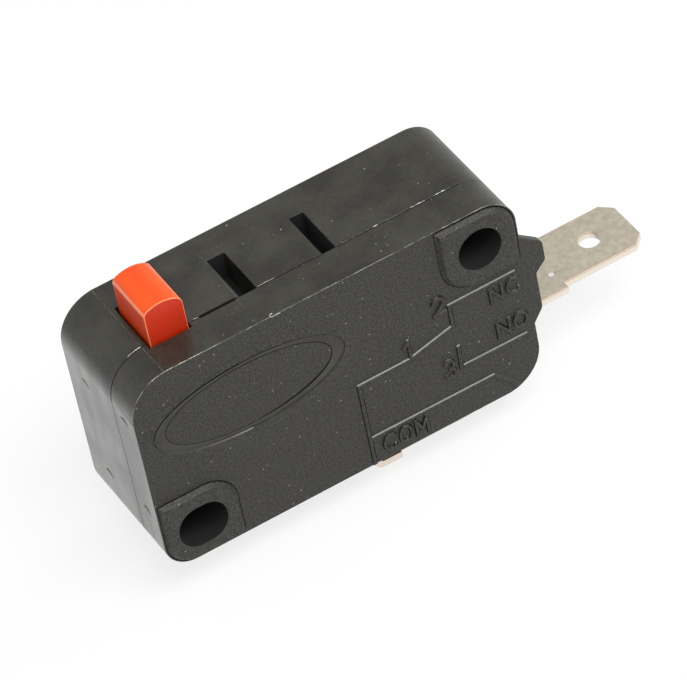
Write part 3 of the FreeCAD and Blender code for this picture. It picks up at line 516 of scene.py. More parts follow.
def bare_metal(name, dark, light, line_mm, stretch_by, rough):
    """A metal with drawn or rolled lines of a given spacing, between two close shades."""
    material, tree = new_finish(name)
    where = add(tree, "TexCoord").outputs["Object"]
    drawn = add(tree, "Mapping", {0: where, "Scale": stretch_by})
    lines = add(tree, "TexNoise", {"Vector": drawn, "Scale": per_mm(line_mm), "Detail": 3.0})
    surface(tree, {
        "Base Color": add(tree, "Mix", {0: lines, 6: paint(dark), 7: paint(light)}, data_type="RGBA"),
        "Roughness": add(tree, "MapRange", {0: lines, 3: rough - ROUGH_BY, 4: rough + ROUGH_BY}),
        "Normal": relief(tree, lines, LINE_DEPTH),
        "Metallic": 1.0,
    })
    return material


BRONZE = bare_metal("phosphor_bronze_rolled", "#b98a5e", "#d3a678", 0.12, (0.08, 1.0, 1.0), 0.32)
SILVER = bare_metal("silver_alloy_headed", "#cfccc4", "#e4e1da", 0.2, (1.0, 1.0, 1.0), 0.35)
STAINLESS = bare_metal("stainless_wire_drawn", "#9c9a96", "#c2c0bb", 0.08, (1.0, 1.0, 0.2), 0.25)
print("made", BRONZE.name, SILVER.name, STAINLESS.name)

# %% [markdown]
# Each solid from the CAD model now takes its finish. The CAD edges are perfectly sharp, and no
# moulded or stamped edge is, so a Weld joins the triangles and a Bevel breaks the edges by a few
# hundredths of a millimetre. That thin facet is what catches the light along every real edge.

# %% Dress the solids
FINISHES = {
    "case": (PBT, 0.05),
    "cover": (PBT, 0.05),
    "plunger": (POM, 0.06),
    "normally_open_terminal": (TINNED, 0.04),
    "common_terminal": (TINNED, 0.04),
    "fixed_contact": (SILVER, 0.05),
    "moving_contact": (SILVER, 0.05),
    "contact_arm": (BRONZE, 0.03),
    "actuating_lever": (BRONZE, 0.03),
    "tension_spring": (STAINLESS, 0.0),
}
EDGE_ANGLE = math.radians(35)
FLAT_WITHIN = math.radians(0.5)
WELD_WITHIN = 0.0005 * MM


def break_edges(piece, width):
    """Joins the triangles into flat faces and bevels every edge by so many millimetres."""
    weld = piece.modifiers.new("join_triangles", "WELD")
    weld.merge_threshold = WELD_WITHIN
    flat = piece.modifiers.new("flat_faces", "DECIMATE")
    flat.decimate_type = "DISSOLVE"
    flat.angle_limit = FLAT_WITHIN
    bevel = piece.modifiers.new("broken_edges", "BEVEL")
    bevel.width = width * MM
    bevel.segments = 2
    bevel.limit_method = "ANGLE"
    bevel.angle_limit = EDGE_ANGLE
    bevel.use_clamp_overlap = False
    shade = piece.modifiers.new("even_shading", "WEIGHTED_NORMAL")
    shade.keep_sharp = True


for name, (finish, edge) in FINISHES.items():
    piece = NODES[name]
    piece.data.materials.clear()
    piece.data.materials.append(finish)
    if edge:
        break_edges(piece, edge)
print("dressed", len(FINISHES), "solids")

# %% [markdown]
# The cover carries a low moulded relief: the circuit of the contacts, with its three contacts
# numbered, and the usual marks of a changeover switch. In the mould these are grooves milled with
# a tapered cutter, so each stroke is a flat-topped rib with sloping sides and ends. The slopes are
# what shows: those that face up catch the light, and those that face down or aside lie in shade.
# Each rib is a mesh swept along its path, with its section mitred at every corner. The cutter leant
# a little, so upright ribs have a steep left side and a wide right one. Ribs that cross differ in
# height by a hair, so that no two tops lie in one plane. Shaded slopes and narrow gaps have their
# shade painted on, as a darker plastic nearly without gloss, because hardly any light reaches
# them.

# %% Plastic with painted shade
UNLIT = {"Roughness": 0.9, "Specular IOR Level": 0.1}
SHADE_MM = 0.6
CREVICE = two_tone("pbt_black_unlit_crevice", SHADE_MM, "#060605", "#141412", UNLIT)
RIB_SHADE = two_tone("pbt_black_rib_in_shade", SHADE_MM, "#1a1a17", "#282822", UNLIT)
HALF_SHADE = two_tone("pbt_black_step_half_lit", SHADE_MM, "#33322c", "#403e37", UNLIT)
print("made", CREVICE.name, RIB_SHADE.name, "and", HALF_SHADE.name)

# %% A flat-topped rib
RIB_FOOT = 0.38 * MM
RIB_TOP = 0.22 * MM
LEAN = 0.03 * MM
RIB_HEIGHT = 0.085 * MM
SUNK = 0.02 * MM
OVERLAP_STEP = 0.003 * MM
OVERLAP_LEVELS = 3
LEAST_MITRE = 0.5
CREASE = math.radians(30)
LIT_FROM = 0.3


def on_housing(name, shape):
    """An object for a mesh or a curve that rides on the housing."""
    piece = bpy.data.objects.new(name, shape)
    bpy.context.scene.collection.objects.link(piece)
    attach(piece, "housing")
    return piece


def place_on_housing(name, spots, faces, *finishes, slot="housing"):
    """A mesh piece with its finishes."""
    mesh = bpy.data.meshes.new(name)
    mesh.from_pydata(spots, [], faces)
    for finish in finishes:
        mesh.materials.append(finish)
    return on_housing(name, mesh)


def sideways(path, i, closed):
    """The mitred direction across a path at one of its points."""
    after = path[(i + 1) % len(path)] - path[i]
    before = path[i] - path[i - 1]
    if not closed and i == 0:
        before = after
    if not closed and i == len(path) - 1:
        after = before
    before, after = before.normalized(), after.normalized()
    middle = (before + after).normalized()
    across = Vector((-middle.y, middle.x))
    return across / max(LEAST_MITRE, middle.dot(after))


def strokes(name, paths, foot=RIB_FOOT, top=RIB_TOP, height=RIB_HEIGHT):
    """Ribs on the cover's face. Each path is a list of (x, z) points in metres."""
    spots, faces, shaded = [], [], []
    for number, path in enumerate(paths):
        path = [Vector(p) for p in path]
        lift = height + OVERLAP_STEP * (number % OVERLAP_LEVELS)
        closed = (path[0] - path[-1]).length < top
        if closed:
            path.pop()
        rings = [(p, sideways(path, i, closed), lift) for i, p in enumerate(path)]
        if not closed:
            start = (path[0] - path[1]).normalized()
            finish = (path[-1] - path[-2]).normalized()
            first_across, last_across = rings[0][1], rings[-1][1]
            rings.insert(0, (path[0] + start * top / 2, first_across, lift))
            rings.insert(0, (path[0] + start * foot / 2, first_across, -SUNK))
            rings.append((path[-1] + finish * top / 2, last_across, lift))
            rings.append((path[-1] + finish * foot / 2, last_across, -SUNK))
        first = len(spots)
        ends = 0 if closed else 2
        for spot, across, level in rings:
            for reach, up in ((-foot, -SUNK), (-top, level), (top, level), (foot, -SUNK)):
                at = spot + across * reach / 2
                lean = LEAN * abs(across.x) if up > 0 else 0.0
                spots.append((at.x - lean, FACE - up, at.y))
        for ring in range(len(rings) - (0 if closed else 1)):
            a = first + ring * 4
            b = first + (ring + 1) % len(rings) * 4
            faces += [(a + k, b + k, b + k + 1, a + k + 1) for k in range(3)]
            along = ends <= ring < len(rings) - 1 - ends or closed
            up = rings[ring][1].normalized().y if along else 1.0
            # Slopes that face down or aside take the rib plastic with painted shade.
            shaded += [int(-up < LIT_FROM and along), 0, int(up < LIT_FROM and along)]
    rib = place_on_housing(name, spots, faces, PBT_RELIEF, RIB_SHADE)
    rib.data.polygons.foreach_set("material_index", shaded)
    rib.data.shade_smooth()
    rib.data.set_sharp_from_angle(angle=CREASE)
    return rib


def bow(centre, half, start, end, steps=14):
    """Points along part of an ellipse, from one angle to another, in degrees."""
    angles = [math.radians(start + (end - start) * i / steps) for i in range(steps + 1)]
    return [(centre[0] + half[0] * math.cos(a), centre[1] + half[1] * math.sin(a)) for a in angles]


def on_face(*spots):
    """Millimetres right of the left end and above the bottom, as places on the cover's face."""
    return [(LEFT + x * MM, BOTTOM + z * MM) for x, z in spots]


print("a rib is", RIB_FOOT / MM, "mm wide at its foot")

# %% [markdown]
# Beside its shoulder, the open terminal has a small round index mark. The solid has a pocket
# there, and a flat disc of two rings lies over the pocket: plated round it, and near white in the
# middle, a painted glint.

# %% The index mark on the tab
INDEX_AT = (6.31 * MM, -1.1875 * MM, TAB_TOP + 0.002 * MM)
INDEX_RINGS = (0.19 * MM, 0.3 * MM)
INDEX_STEPS = 24
GLINT_LOOK = {"Metallic": 1.0, "Roughness": 0.35}


def index_mark(name):
    """A round polygon of painted glint and a plated ring round it, facing up."""
    spots, faces = [], [list(range(INDEX_STEPS))]
    for radius in INDEX_RINGS:
        for i in range(INDEX_STEPS):
            turn = math.tau * i / INDEX_STEPS
            across, along = radius * math.cos(turn), radius * math.sin(turn)
            spots.append((INDEX_AT[0] + across, INDEX_AT[1] + along, INDEX_AT[2]))
    for i in range(INDEX_STEPS):
        j = (i + 1) % INDEX_STEPS
        faces.append((i, INDEX_STEPS + i, INDEX_STEPS + j, j))
    bright = two_tone("tin_painted_glint", 0.1, "#f6efe2", "#ffffff", GLINT_LOOK)
    disc = place_on_housing(name, spots, faces, TINNED, bright, slot="terminal")
    # The middle polygon takes the painted glint.
    disc.data.polygons[0].material_index = 1
    return disc


pressed = index_mark("tab_index_mark")
print("index mark:", len(pressed.data.polygons), "faces")

# %% [markdown]
# The circuit reads from the left: the common line comes up and over to the pivot of the moving
# contact, which leans on the normally closed contact above, while the normally open one waits
# below. Each line is a stroke between two corners.

# %% The moulded circuit
COMMON_RISE = [(15.17, 0.15), (15.17, 6.93)]
COMMON_OVER = [(15.17, 6.93), (19.0, 6.95)]
MOVING = [(19.0, 6.98), (22.1, 7.78)]
CLOSED_POST = [(22.3, 7.8), (22.3, 9.6)]
CLOSED_LINE = [(22.3, 9.6), (27.1, 9.62)]
OPEN_POST = [(22.33, 4.2), (22.38, 5.95)]
OPEN_LINE = [(22.6, 4.19), (27.15, 4.15)]
COMMON_LINE = [(15.3, 2.22), (24.35, 2.16)]
COMMON_CORNER = [(24.5, 2.1), (26.0, 0.4)]
CIRCUIT = [
    COMMON_RISE, COMMON_OVER, MOVING, CLOSED_POST, CLOSED_LINE,
    OPEN_POST, OPEN_LINE, COMMON_LINE, COMMON_CORNER,
]
circuit = strokes("moulded_circuit", [on_face(*line) for line in CIRCUIT])
print("circuit:", len(CIRCUIT), "strokes,", len(circuit.data.polygons), "faces")

# %% [markdown]
# The marks are plain strokes in a box one unit wide and one high. Straight strokes are separate,
# so that two that meet at a sharp corner still have full ends there.

# %% The moulded numbers and contact marks
GLYPHS = {
    "1": [[(0.1, 0.7), (0.5, 1.0)], [(0.5, 1.0), (0.5, 0.0)]],
    "2": [bow((0.5, 0.72), (0.42, 0.28), 170, -35) + [(0.08, 0.0)], [(0.08, 0.0), (0.95, 0.0)]],
    "3": [bow((0.45, 0.75), (0.4, 0.25), 150, -80), bow((0.45, 0.26), (0.45, 0.26), 85, -150)],
    "N": [[(0.0, 0.0), (0.0, 1.0)], [(0.0, 1.0), (1.0, 0.0)], [(1.0, 0.0), (1.0, 1.0)]],
    "C": [bow((0.55, 0.5), (0.55, 0.5), 45, 315, 20)],
    "O": [bow((0.5, 0.5), (0.52, 0.5), 0, 360, 28)],
    "M": [
        [(0.0, 0.0), (0.0, 1.0)],
        [(0.0, 1.0), (0.5, 0.3)],
        [(0.5, 0.3), (1.0, 1.0)],
        [(1.0, 1.0), (1.0, 0.0)],
    ],
}
GLYPH_GAP = 0.39
GLYPH_RIB = {"foot": 0.34 * MM, "top": 0.19 * MM, "height": 0.12 * MM}


def marks(name, rows):
    """Each row is its text, its left and low corner on the face, and its glyph's width and height."""
    paths = []
    for text, left, low, wide, high in rows:
        for i, letter in enumerate(text):
            start = left + i * (wide + GLYPH_GAP)
            for stroke in GLYPHS[letter]:
                paths.append(on_face(*[(start + x * wide, low + z * high) for x, z in stroke]))
    return strokes(name, paths, **GLYPH_RIB)


NUMBERS = [("1", 18.62, 7.1, 0.85, 1.38), ("2", 21.13, 9.35, 0.9, 1.32), ("3", 21.15, 3.8, 0.8, 1.45)]
CONTACT_MARKS = [
    ("NC", 25.25, 8.02, 0.84, 1.2),
    ("NO", 25.3, 5.0, 0.87, 1.18),
    ("COM", 16.07, 0.57, 0.8, 1.26),
]
numbers = marks("moulded_numbers", NUMBERS)
contact_marks = marks("moulded_contact_marks", CONTACT_MARKS)
print("marks:", len(numbers.data.polygons) + len(contact_marks.data.polygons), "faces")

# %% [markdown]
# On the left of the face is an oval frame, left plain: a polished band, wider at its two ends,
# that lies a little lower than the grained plastic at its outer edge. The solid face can't be cut
# here, so the plastic outside swells very gently up to the band's rim and drops to it in a steep
# step, which looks the same. Rings of points make the section, and faces join them. Each ring is
# the oval made smaller by a share, then moved outward by some millimetres. The outer step has its
# shade painted on: widest and darkest on the upper left, fading along the right, and polished on
# the lower left, where it faces the light. The inner step is a dark line of painted shade, widest
# on the lower right. Places round the oval are shares of a whole turn, from the right end over the
# top.

# %% The plain oval band
OVAL_AT = (7.9, 10.9)
OVAL_HALF = (6.9, 2.8)
OVAL_STEPS = 160
OVAL_STEP_WIDER = 0.22
OVAL_STEP_LEFTWARD = 0.8
OVAL_INNER_WIDER = 0.25
OVAL_SECTION = [
    (0.0, 0.8, -0.02),
    (0.0, 0.74, 0.008),
    (0.0, 0.4, 0.035),
    (0.0, 0.03, 0.085),
    (0.0, -0.03, 0.004),
    (0.125, 0.0, 0.012),
    (0.125, -0.05, 0.02),
    (0.125, -0.12, -0.01),
]
OVAL_WALL, OVAL_BAND, OVAL_INNER = 3, 4, 5
OVAL_FINISHES_AND_SHADES = (PBT_RELIEF, PBT_POLISHED, CREVICE, RIB_SHADE, HALF_SHADE)
OVAL_RINGS_POLISH_AND_SHADE = {OVAL_BAND: PBT_POLISHED, OVAL_INNER: CREVICE}
OVAL_WALL_POLISH_AND_SHADE = [
    (0.08, HALF_SHADE),
    (0.25, RIB_SHADE),
    (0.53, CREVICE),
    (0.74, PBT_POLISHED),
    (1.0, HALF_SHADE),
]


def oval_edge(number, turn):
    """How far one ring's edge is moved outward at a place round the oval, in millimetres."""
    aside, up = math.cos(turn), math.sin(turn)
    outward = OVAL_SECTION[number][1]
    if number == OVAL_BAND:
        leftward = (1 - OVAL_STEP_LEFTWARD * aside) / (1 + OVAL_STEP_LEFTWARD)
        outward -= OVAL_STEP_WIDER * max(0.0, up) ** 0.5 * leftward
    if number > OVAL_INNER:
        outward -= OVAL_INNER_WIDER * max(0.0, -up) * max(0.0, aside)
    return outward


def oval_band(name):
    """Rings of points from outside to inside, joined by faces; the steps get painted shade."""
    spots, faces = [], []
    for number, (smaller, _, lift) in enumerate(OVAL_SECTION):
        for i in range(OVAL_STEPS):
            turn = math.tau * i / OVAL_STEPS
            outward = oval_edge(number, turn)
            across = OVAL_AT[0] + (OVAL_HALF[0] * (1 - smaller) + outward) * math.cos(turn)
            up = OVAL_AT[1] + (OVAL_HALF[1] * (1 - smaller) + outward) * math.sin(turn)
            spots.append((LEFT + across * MM, FACE - lift * MM, BOTTOM + up * MM))
    for ring in range(len(OVAL_SECTION) - 1):
        for i in range(OVAL_STEPS):
            a = ring * OVAL_STEPS + i
            b = ring * OVAL_STEPS + (i + 1) % OVAL_STEPS
            faces.append((a, b, b + OVAL_STEPS, a + OVAL_STEPS))
    band = place_on_housing(name, spots, faces, *OVAL_FINISHES_AND_SHADES)
    for polygon in band.data.polygons:
        ring, step = divmod(polygon.index, OVAL_STEPS)
        finish = OVAL_RINGS_POLISH_AND_SHADE.get(ring, PBT_RELIEF)
        # The outer step's faces take painted shade by how far round the oval they are.
        if ring == OVAL_WALL:
            finish = next(look for upto, look in OVAL_WALL_POLISH_AND_SHADE if step / OVAL_STEPS <= upto)
        polygon.material_index = OVAL_FINISHES_AND_SHADES.index(finish)
    band.data.shade_smooth()
    band.data.set_sharp_from_angle(angle=CREASE)
    return band


oval = oval_band("moulded_oval_band")
print("oval band:", len(oval.data.polygons), "faces")

# %% [markdown]
# Where two halves of a mould or two mouldings meet, a little plastic creeps into the gap and
# leaves flash: a ragged, paper-thin fin that goes pale where it is bent. It runs along the joint
# of the housing and along the front edge. Here it is a ridge of triangular section whose height
# wanders and drops out, from a seeded random so that it is the same every time.

# %% Thin flash and whitened flash
FLASH_MM = 0.5


def pale_flash(name, dark, light):
    """Thin plastic between a duller and a whiter shade, in patches."""
    material, tree = new_finish(name)
    where = add(tree, "TexCoord").outputs["Object"]
    patch = add(tree, "TexNoise", {"Vector": where, "Scale": per_mm(FLASH_MM), "Detail": 3.0})
    shades = add(tree, "ValToRGB", {0: patch}, stops=[(0.42, dark), (0.66, light)])
    surface(tree, {"Base Color": shades, "Roughness": 0.5, "IOR": PBT_IOR})
    return material


FLASH = pale_flash("pbt_flash_thin", "#403f39", "#85827a")
BURR = pale_flash("pbt_flash_whitened", "#96938a", "#dddad0")
print("made", FLASH.name, "and", BURR.name)

# %% A walk round a rounded outline
STEPS_PER_MM = 8
CORNER_FINER = 1.5
CORNER_STEPS_LEAST = 6


def walk_round(left, right, low, high, radii):
    """Points (x, z) and outward directions round a rounded box, clockwise from its left side."""
    corners = [
        ("top_left", left, high, 1, -1, 180),
        ("top_right", right, high, -1, -1, 90),
        ("bottom_right", right, low, -1, 1, 0),
        ("bottom_left", left, low, 1, 1, -90),
    ]
    turned = []
    for corner, x, z, inward, upward, start in corners:
        radius = radii[corner]
        middle = (x + inward * radius, z + upward * radius)
        steps = max(CORNER_STEPS_LEAST, int(radius / MM * STEPS_PER_MM * CORNER_FINER))
        for i in range(steps + 1):
            a = math.radians(start - 90 * i / steps)
            out = (math.cos(a), math.sin(a))
            turned.append((middle[0] + radius * out[0], middle[1] + radius * out[1], *out))
    full = []
    for here, there in zip(turned, turned[1:] + turned[:1]):
        run = math.hypot(there[0] - here[0], there[1] - here[1])
        steps = max(1, int(run / MM * STEPS_PER_MM))
        full += [tuple(a + (b - a) * i / steps for a, b in zip(here, there)) for i in range(steps)]
    return full


RIM = walk_round(LEFT, RIGHT, BOTTOM, TOP, CORNERS)
print("rim of", len(RIM), "points")

# %% [markdown]
# The joint itself is a dark hairline, wider between the plunger and the first slot, where the two
# halves don't quite close. Thin flash stands beside it, on the case's side, with a few whiter
# burrs. All of it leaves out the plunger's slot and the two lever slots, where there is no edge to
# run along. At the top right corner and down the left end the halves fit so well that no gap shows.

# %% The joint
GAPING = (LEFT + 7.0 * MM, LEFT + 9.6 * MM)
CLOSED_FROM = LEFT + 26.2 * MM
HAIRLINE_HALF = 0.028 * MM
GAP_HALF = 0.125 * MM
A_HAIR = 0.004 * MM


def on_top(z):
    """Whether a place round the rim is on the flat top."""
    return z > TOP - 0.1 * MM


def skipped(x, z):
    """Whether it is over the plunger's slot or a lever slot."""
    return on_top(z) and any(low < x < high for low, high in OPENINGS)


def dark_joint(name):
    """A flat dark ribbon over the joint, a hair proud of the surface."""
    spots, faces = [], []
    last = None
    for x, z, out_x, out_z in RIM + RIM[:1]:
        closed_left = x < LEFT + 0.1 * MM and z < TOP - CORNERS["top_left"]
        if skipped(x, z) or closed_left or (x > CLOSED_FROM and z > 0):
            last = None
            continue
        half = GAP_HALF if on_top(z) and GAPING[0] < x < GAPING[1] else HAIRLINE_HALF
        base = len(spots)
        for along in (-half, half):
            spots.append((x + out_x * A_HAIR, SEAM + along, z + out_z * A_HAIR))
        if last is not None:
            faces.append((last, base, base + 1, last + 1))
        last = base
    return place_on_housing(name, spots, faces, CREVICE)


joint = dark_joint("housing_joint")
print("joint:", len(joint.data.polygons), "faces")

# %% Flash beside the joint and along the front edge
FIN_ROOT = 0.01 * MM
FIN_TURNS = 0.14
FIN_SETTLES = 0.4
FIN_ENDS = 0.12
FIN_LEANS = 0.35
BURRS = [(1.7, 2.8), (6.4, 7.0), (11.1, 12.4), (19.4, 19.9), (22.2, 23.5), (24.1, 24.9)]


def fin(name, finish, level, width, height, seed, keep, part=None, least=0.0):
    """A ragged fin round the edge at one depth, or along the part of it that a test allows."""
    draw = random.Random(seed)
    spots, faces = [], []
    strength, target = least, least
    last = None
    for x, z, out_x, out_z in RIM:
        if draw.random() < FIN_TURNS:
            target = draw.uniform(0.3, 1.0) if draw.random() < keep else least
        strength += (target - strength) * FIN_SETTLES
        jitter = draw.uniform(0.35, 1.0)
        shift = draw.uniform(-FIN_LEANS, FIN_LEANS) * width
        left_out = (level > SEAM and skipped(x, z)) or (part and not part(x, z))
        if strength < FIN_ENDS or left_out:
            last = None
            continue
        lift = height * strength * jitter
        half = width / 2 * (0.4 + 0.6 * strength)
        base = len(spots)
        for along, up in ((-half, -FIN_ROOT), (shift, lift), (half, -FIN_ROOT)):
            spots.append((x + out_x * up, level + along, z + out_z * up))
        if last is not None:
            faces.append((last, base, base + 1, last + 1))
            faces.append((last + 1, base + 1, base + 2, last + 2))
        last = base
    return place_on_housing(name, spots, faces, finish)


def in_burrs(x, z):
    """Whether a place round the rim is at a burr, in millimetres from the left end."""
    return z > TOP - 0.5 * MM and any(LEFT + low * MM < x < LEFT + high * MM for low, high in BURRS)


def right_of_gap(x, z):
    """Whether it is on the top and right of the first lever slot."""
    return on_top(z) and x > SLOT_ONE[1]


def upper_side(x, z):
    """Whether it is on the top or round its two corners."""
    return z > TOP - 3.2 * MM


EDGE = FACE + 0.035 * MM
seam_fin = fin("seam_flash", FLASH, SEAM + 0.05 * MM, 0.07 * MM, 0.03 * MM, 7, 0.5, right_of_gap)
burrs = fin("seam_burrs", BURR, SEAM + 0.06 * MM, 0.1 * MM, 0.06 * MM, 5, 0.92, in_burrs)
edge_fin = fin("front_edge_flash", FLASH, EDGE, 0.11 * MM, 0.035 * MM, 11, 0.85, upper_side, 0.45)
edge_burrs = fin("front_edge_burrs", BURR, EDGE, 0.07 * MM, 0.04 * MM, 31, 0.14, upper_side)
low_fin = fin("lower_edge_flash", FLASH, FACE + 0.04 * MM, 0.06 * MM, 0.02 * MM, 23, 0.35)
fins = (seam_fin, burrs, edge_fin, edge_burrs, low_fin)
print("flash:", sum(len(f.data.polygons) for f in fins), "faces")

# %% [markdown]
# Ejector pins pushed the mouldings out of their mould and left four round marks on the left end.
# The solids have them as small pockets, but the real ones are wide and nearly flush: all that shows
# is a dark crescent of shade under the upper edge of each. So a flat disc closes each pocket, and
# a ribbon of unlit plastic that tapers at both ends paints that shade.

# %% The ejector marks
POCKET_RADIUS = 0.37 * MM
POCKET_STEPS = 24
MARK_LIFT = 0.003 * MM
MARK_RISE = 7.8 * MM
POCKETS = [(FACE + 1.35 * MM, BOTTOM + 4.6 * MM), (BACK - 3.05 * MM, BOTTOM + 3.7 * MM)]
CRESCENTS = [(2.3, 11.0), (2.1, 3.2), (-3.15, 11.8), (-3.25, 4.1)]
CRESCENT_RADIUS = 0.57 * MM
CRESCENT_HALF = 0.085 * MM
CRESCENT_STEPS = 16
CRESCENT_FROM, CRESCENT_TO = math.radians(50), math.radians(165)


def ejector_marks(name):
    """The discs are made of polygons, and the crescents of painted shade of strips, all a hair
    proud of the end.
    """
    spots, faces, shaded = [], [], []
    for y, lowest in POCKETS:
        for z in (lowest, lowest + MARK_RISE):
            faces.append([len(spots) + i for i in range(POCKET_STEPS)])
            shaded.append(0)
            for i in range(POCKET_STEPS):
                turn = -math.tau * i / POCKET_STEPS
                across, up = POCKET_RADIUS * math.cos(turn), POCKET_RADIUS * math.sin(turn)
                spots.append((LEFT - MARK_LIFT, y + across, z + up))
    # Each crescent is a strip of painted shade.
    for y, above in CRESCENTS:
        first = len(spots)
        for i in range(CRESCENT_STEPS + 1):
            share = i / CRESCENT_STEPS
            turn = CRESCENT_FROM + (CRESCENT_TO - CRESCENT_FROM) * share
            half = CRESCENT_HALF * math.sin(math.pi * share)
            for out in (CRESCENT_RADIUS - half, CRESCENT_RADIUS + half):
                at_y, at_z = y * MM + out * math.cos(turn), BOTTOM + above * MM + out * math.sin(turn)
                spots.append((LEFT - 2 * MARK_LIFT, at_y, at_z))
        for i in range(CRESCENT_STEPS):
            a = first + 2 * i
            faces.append((a, a + 2, a + 3, a + 1))
            shaded.append(1)
    ends = place_on_housing(name, spots, faces, PBT, CREVICE)
    ends.data.polygons.foreach_set("material_index", shaded)
    return ends


ejected = ejector_marks("ejector_marks")
print("ejector marks:", len(CRESCENTS), "with", len(ejected.data.polygons), "faces")

# %% [markdown]
# Both raised pads were cut into the mould as inserts, so a fine groove runs round the foot of
# each. A flat ribbon of unlit plastic just outside the foot paints the groove's shade, wider
# along the top.

# %% Painted shade in the grooves round the pads
PAD_REACH = 2.75 * MM
PAD_EDGE = 0.2 * MM
PAD_CORNER = 2.2 * MM
PAD_HEEL = 0.4 * MM
GROOVE_FROM = 0.03 * MM
GROOVE_WIDTH = (0.06 * MM, 0.1 * MM)


def round_pad():
    """The foot of the pad round the round hole, in the upper right corner."""
    radii = {
        "top_left": 0.0,
        "top_right": CORNERS["top_right"] - PAD_EDGE,
        "bottom_right": PAD_HEEL,
        "bottom_left": PAD_CORNER,
    }
    return walk_round(-PAD_REACH, RIGHT - PAD_EDGE, -PAD_REACH, TOP - PAD_EDGE, radii)


def slotted_pad():
    """The foot of the pad round the slotted hole, in the lower left corner."""
    radii = {
        "top_left": 0.0,
        "top_right": PAD_CORNER,
        "bottom_right": PAD_HEEL,
        "bottom_left": CORNERS["bottom_left"] - PAD_EDGE,
    }
    right, top = SLOT_HOLE[0] + PAD_REACH, SLOT_HOLE[1] + PAD_REACH
    return walk_round(LEFT + PAD_EDGE, right, BOTTOM + PAD_EDGE, top, radii)


def pad_groove_shade(name):
    """A flat ribbon of painted shade round each pad's foot."""
    spots, faces = [], []
    for outline in (round_pad(), slotted_pad()):
        first = len(spots)
        for x, z, out_x, out_z in outline:
            width = GROOVE_WIDTH[0] + (GROOVE_WIDTH[1] - GROOVE_WIDTH[0]) * max(0.0, out_z)
            for out in (GROOVE_FROM, GROOVE_FROM + width):
                spots.append((x + out_x * out, FACE - A_HAIR, z + out_z * out))
        for i in range(len(outline)):
            a = first + 2 * i
            b = first + 2 * ((i + 1) % len(outline))
            faces.append((a, a + 1, b + 1, b))
    return place_on_housing(name, spots, faces, CREVICE)


grooves = pad_groove_shade("pad_groove_shade")
print("grooves:", len(grooves.data.polygons), "faces")

# %% [markdown]
# The ground inserts of the mould leave witness lines where they meet. On the top they are
# hairlines across the housing, barely proud, beside the plunger and beside the first slot. One
# long shred of flash has curled up off the front edge.

# %% Witness lines across the top, and a curl of flash
WITNESS_SHADE = pale_flash("pbt_witness_line", "#34332d", "#77756b")
WITNESS = [
    (2.78, FACE, BACK),
    (6.53, SEAM, SEAM + 1.5 * MM),
    (9.53, FACE, SEAM),
    (9.66, SEAM, SEAM + 4.9 * MM),
]
WITNESS_HALF = 0.022 * MM
WITNESS_RISE = 0.012 * MM
CURL_AT = (10.5, 0.02)
CURL_RADIUS = 0.13 * MM
CURL_STEPS = 18
CURL_FROM, CURL_BY = 60, 230
CURL_RAISED = 0.7
CURL_TAIL = 0.55 * MM
CURL_LEAN = 0.02 * MM
SHRED_HALF = 0.03 * MM


def witness_lines(name):
    """Hairline ridges along the depth: how far right of the left end, from where and to where."""
    root = TOP - FIN_ROOT
    spots, faces = [], []
    for right, near, far in WITNESS:
        x = LEFT + right * MM
        base = len(spots)
        for y in (near, far):
            spots += [(x - WITNESS_HALF, y, root), (x, y, TOP + WITNESS_RISE), (x + WITNESS_HALF, y, root)]
        faces += [(base, base + 1, base + 4, base + 3), (base + 1, base + 2, base + 5, base + 4)]
    return place_on_housing(name, spots, faces, WITNESS_SHADE)


def flash_curl(name):
    """A thin round shred that leaves the front edge and curls over once."""
    curve = bpy.data.curves.new(name, "CURVE")
    curve.dimensions = "3D"
    curve.bevel_depth = SHRED_HALF
    curve.bevel_resolution = 2
    spline = curve.splines.new("POLY")
    spline.points.add(CURL_STEPS)
    for i, point in enumerate(spline.points):
        turn = math.radians(CURL_FROM + CURL_BY * min(i, CURL_STEPS - 1) / (CURL_STEPS - 1))
        x = LEFT + CURL_AT[0] * MM + CURL_RADIUS * math.cos(turn)
        z = TOP + CURL_AT[1] * MM + CURL_RADIUS * (math.sin(turn) + CURL_RAISED)
        if i == CURL_STEPS:
            x += CURL_TAIL
        point.co = (x, FACE - CURL_LEAN * i / CURL_STEPS, z, 1.0)
    curve.materials.append(BURR)
    return on_housing(name, curve)


witness = witness_lines("mould_witness_lines")
curl = flash_curl("flash_curl")
print("witness lines:", len(witness.data.polygons), "faces, and", curl.name)

# %% [markdown]
# The set is a white table under a broad, even light, as for a catalogue picture. Black plastic
# shows mostly what it reflects, so the white around it matters more than the lamps. The table is
# seen as plain white but still takes the part's shadow and throws light back up at it.

# %% The table
TABLE_HALF = 0.6
TABLE_SEEN = 0.8


def white_table():
    """Nearly even white where the camera or a reflection sees it, and a matt table elsewhere."""
    material, tree = new_finish("table_white")
    rays = add(tree, "LightPath").outputs
    seen = add(tree, "Math", {0: rays["Is Camera Ray"], 1: rays["Is Glossy Ray"]}, operation="MAXIMUM")
    seen = add(tree, "Math", {0: seen, 1: rays["Is Transmission Ray"]}, operation="MAXIMUM")
    share = add(tree, "Math", {0: seen, 1: TABLE_SEEN}, operation="MULTIPLY")
    matt = add(tree, "BsdfDiffuse", {"Color": paint("#fafafa")})
    glow = add(tree, "Emission", {"Color": paint("#ffffff"), "Strength": 1.0})
    both = add(tree, "MixShader", {0: share, 1: matt, 2: glow})
    add(tree, "OutputMaterial", {"Surface": both})
    return material


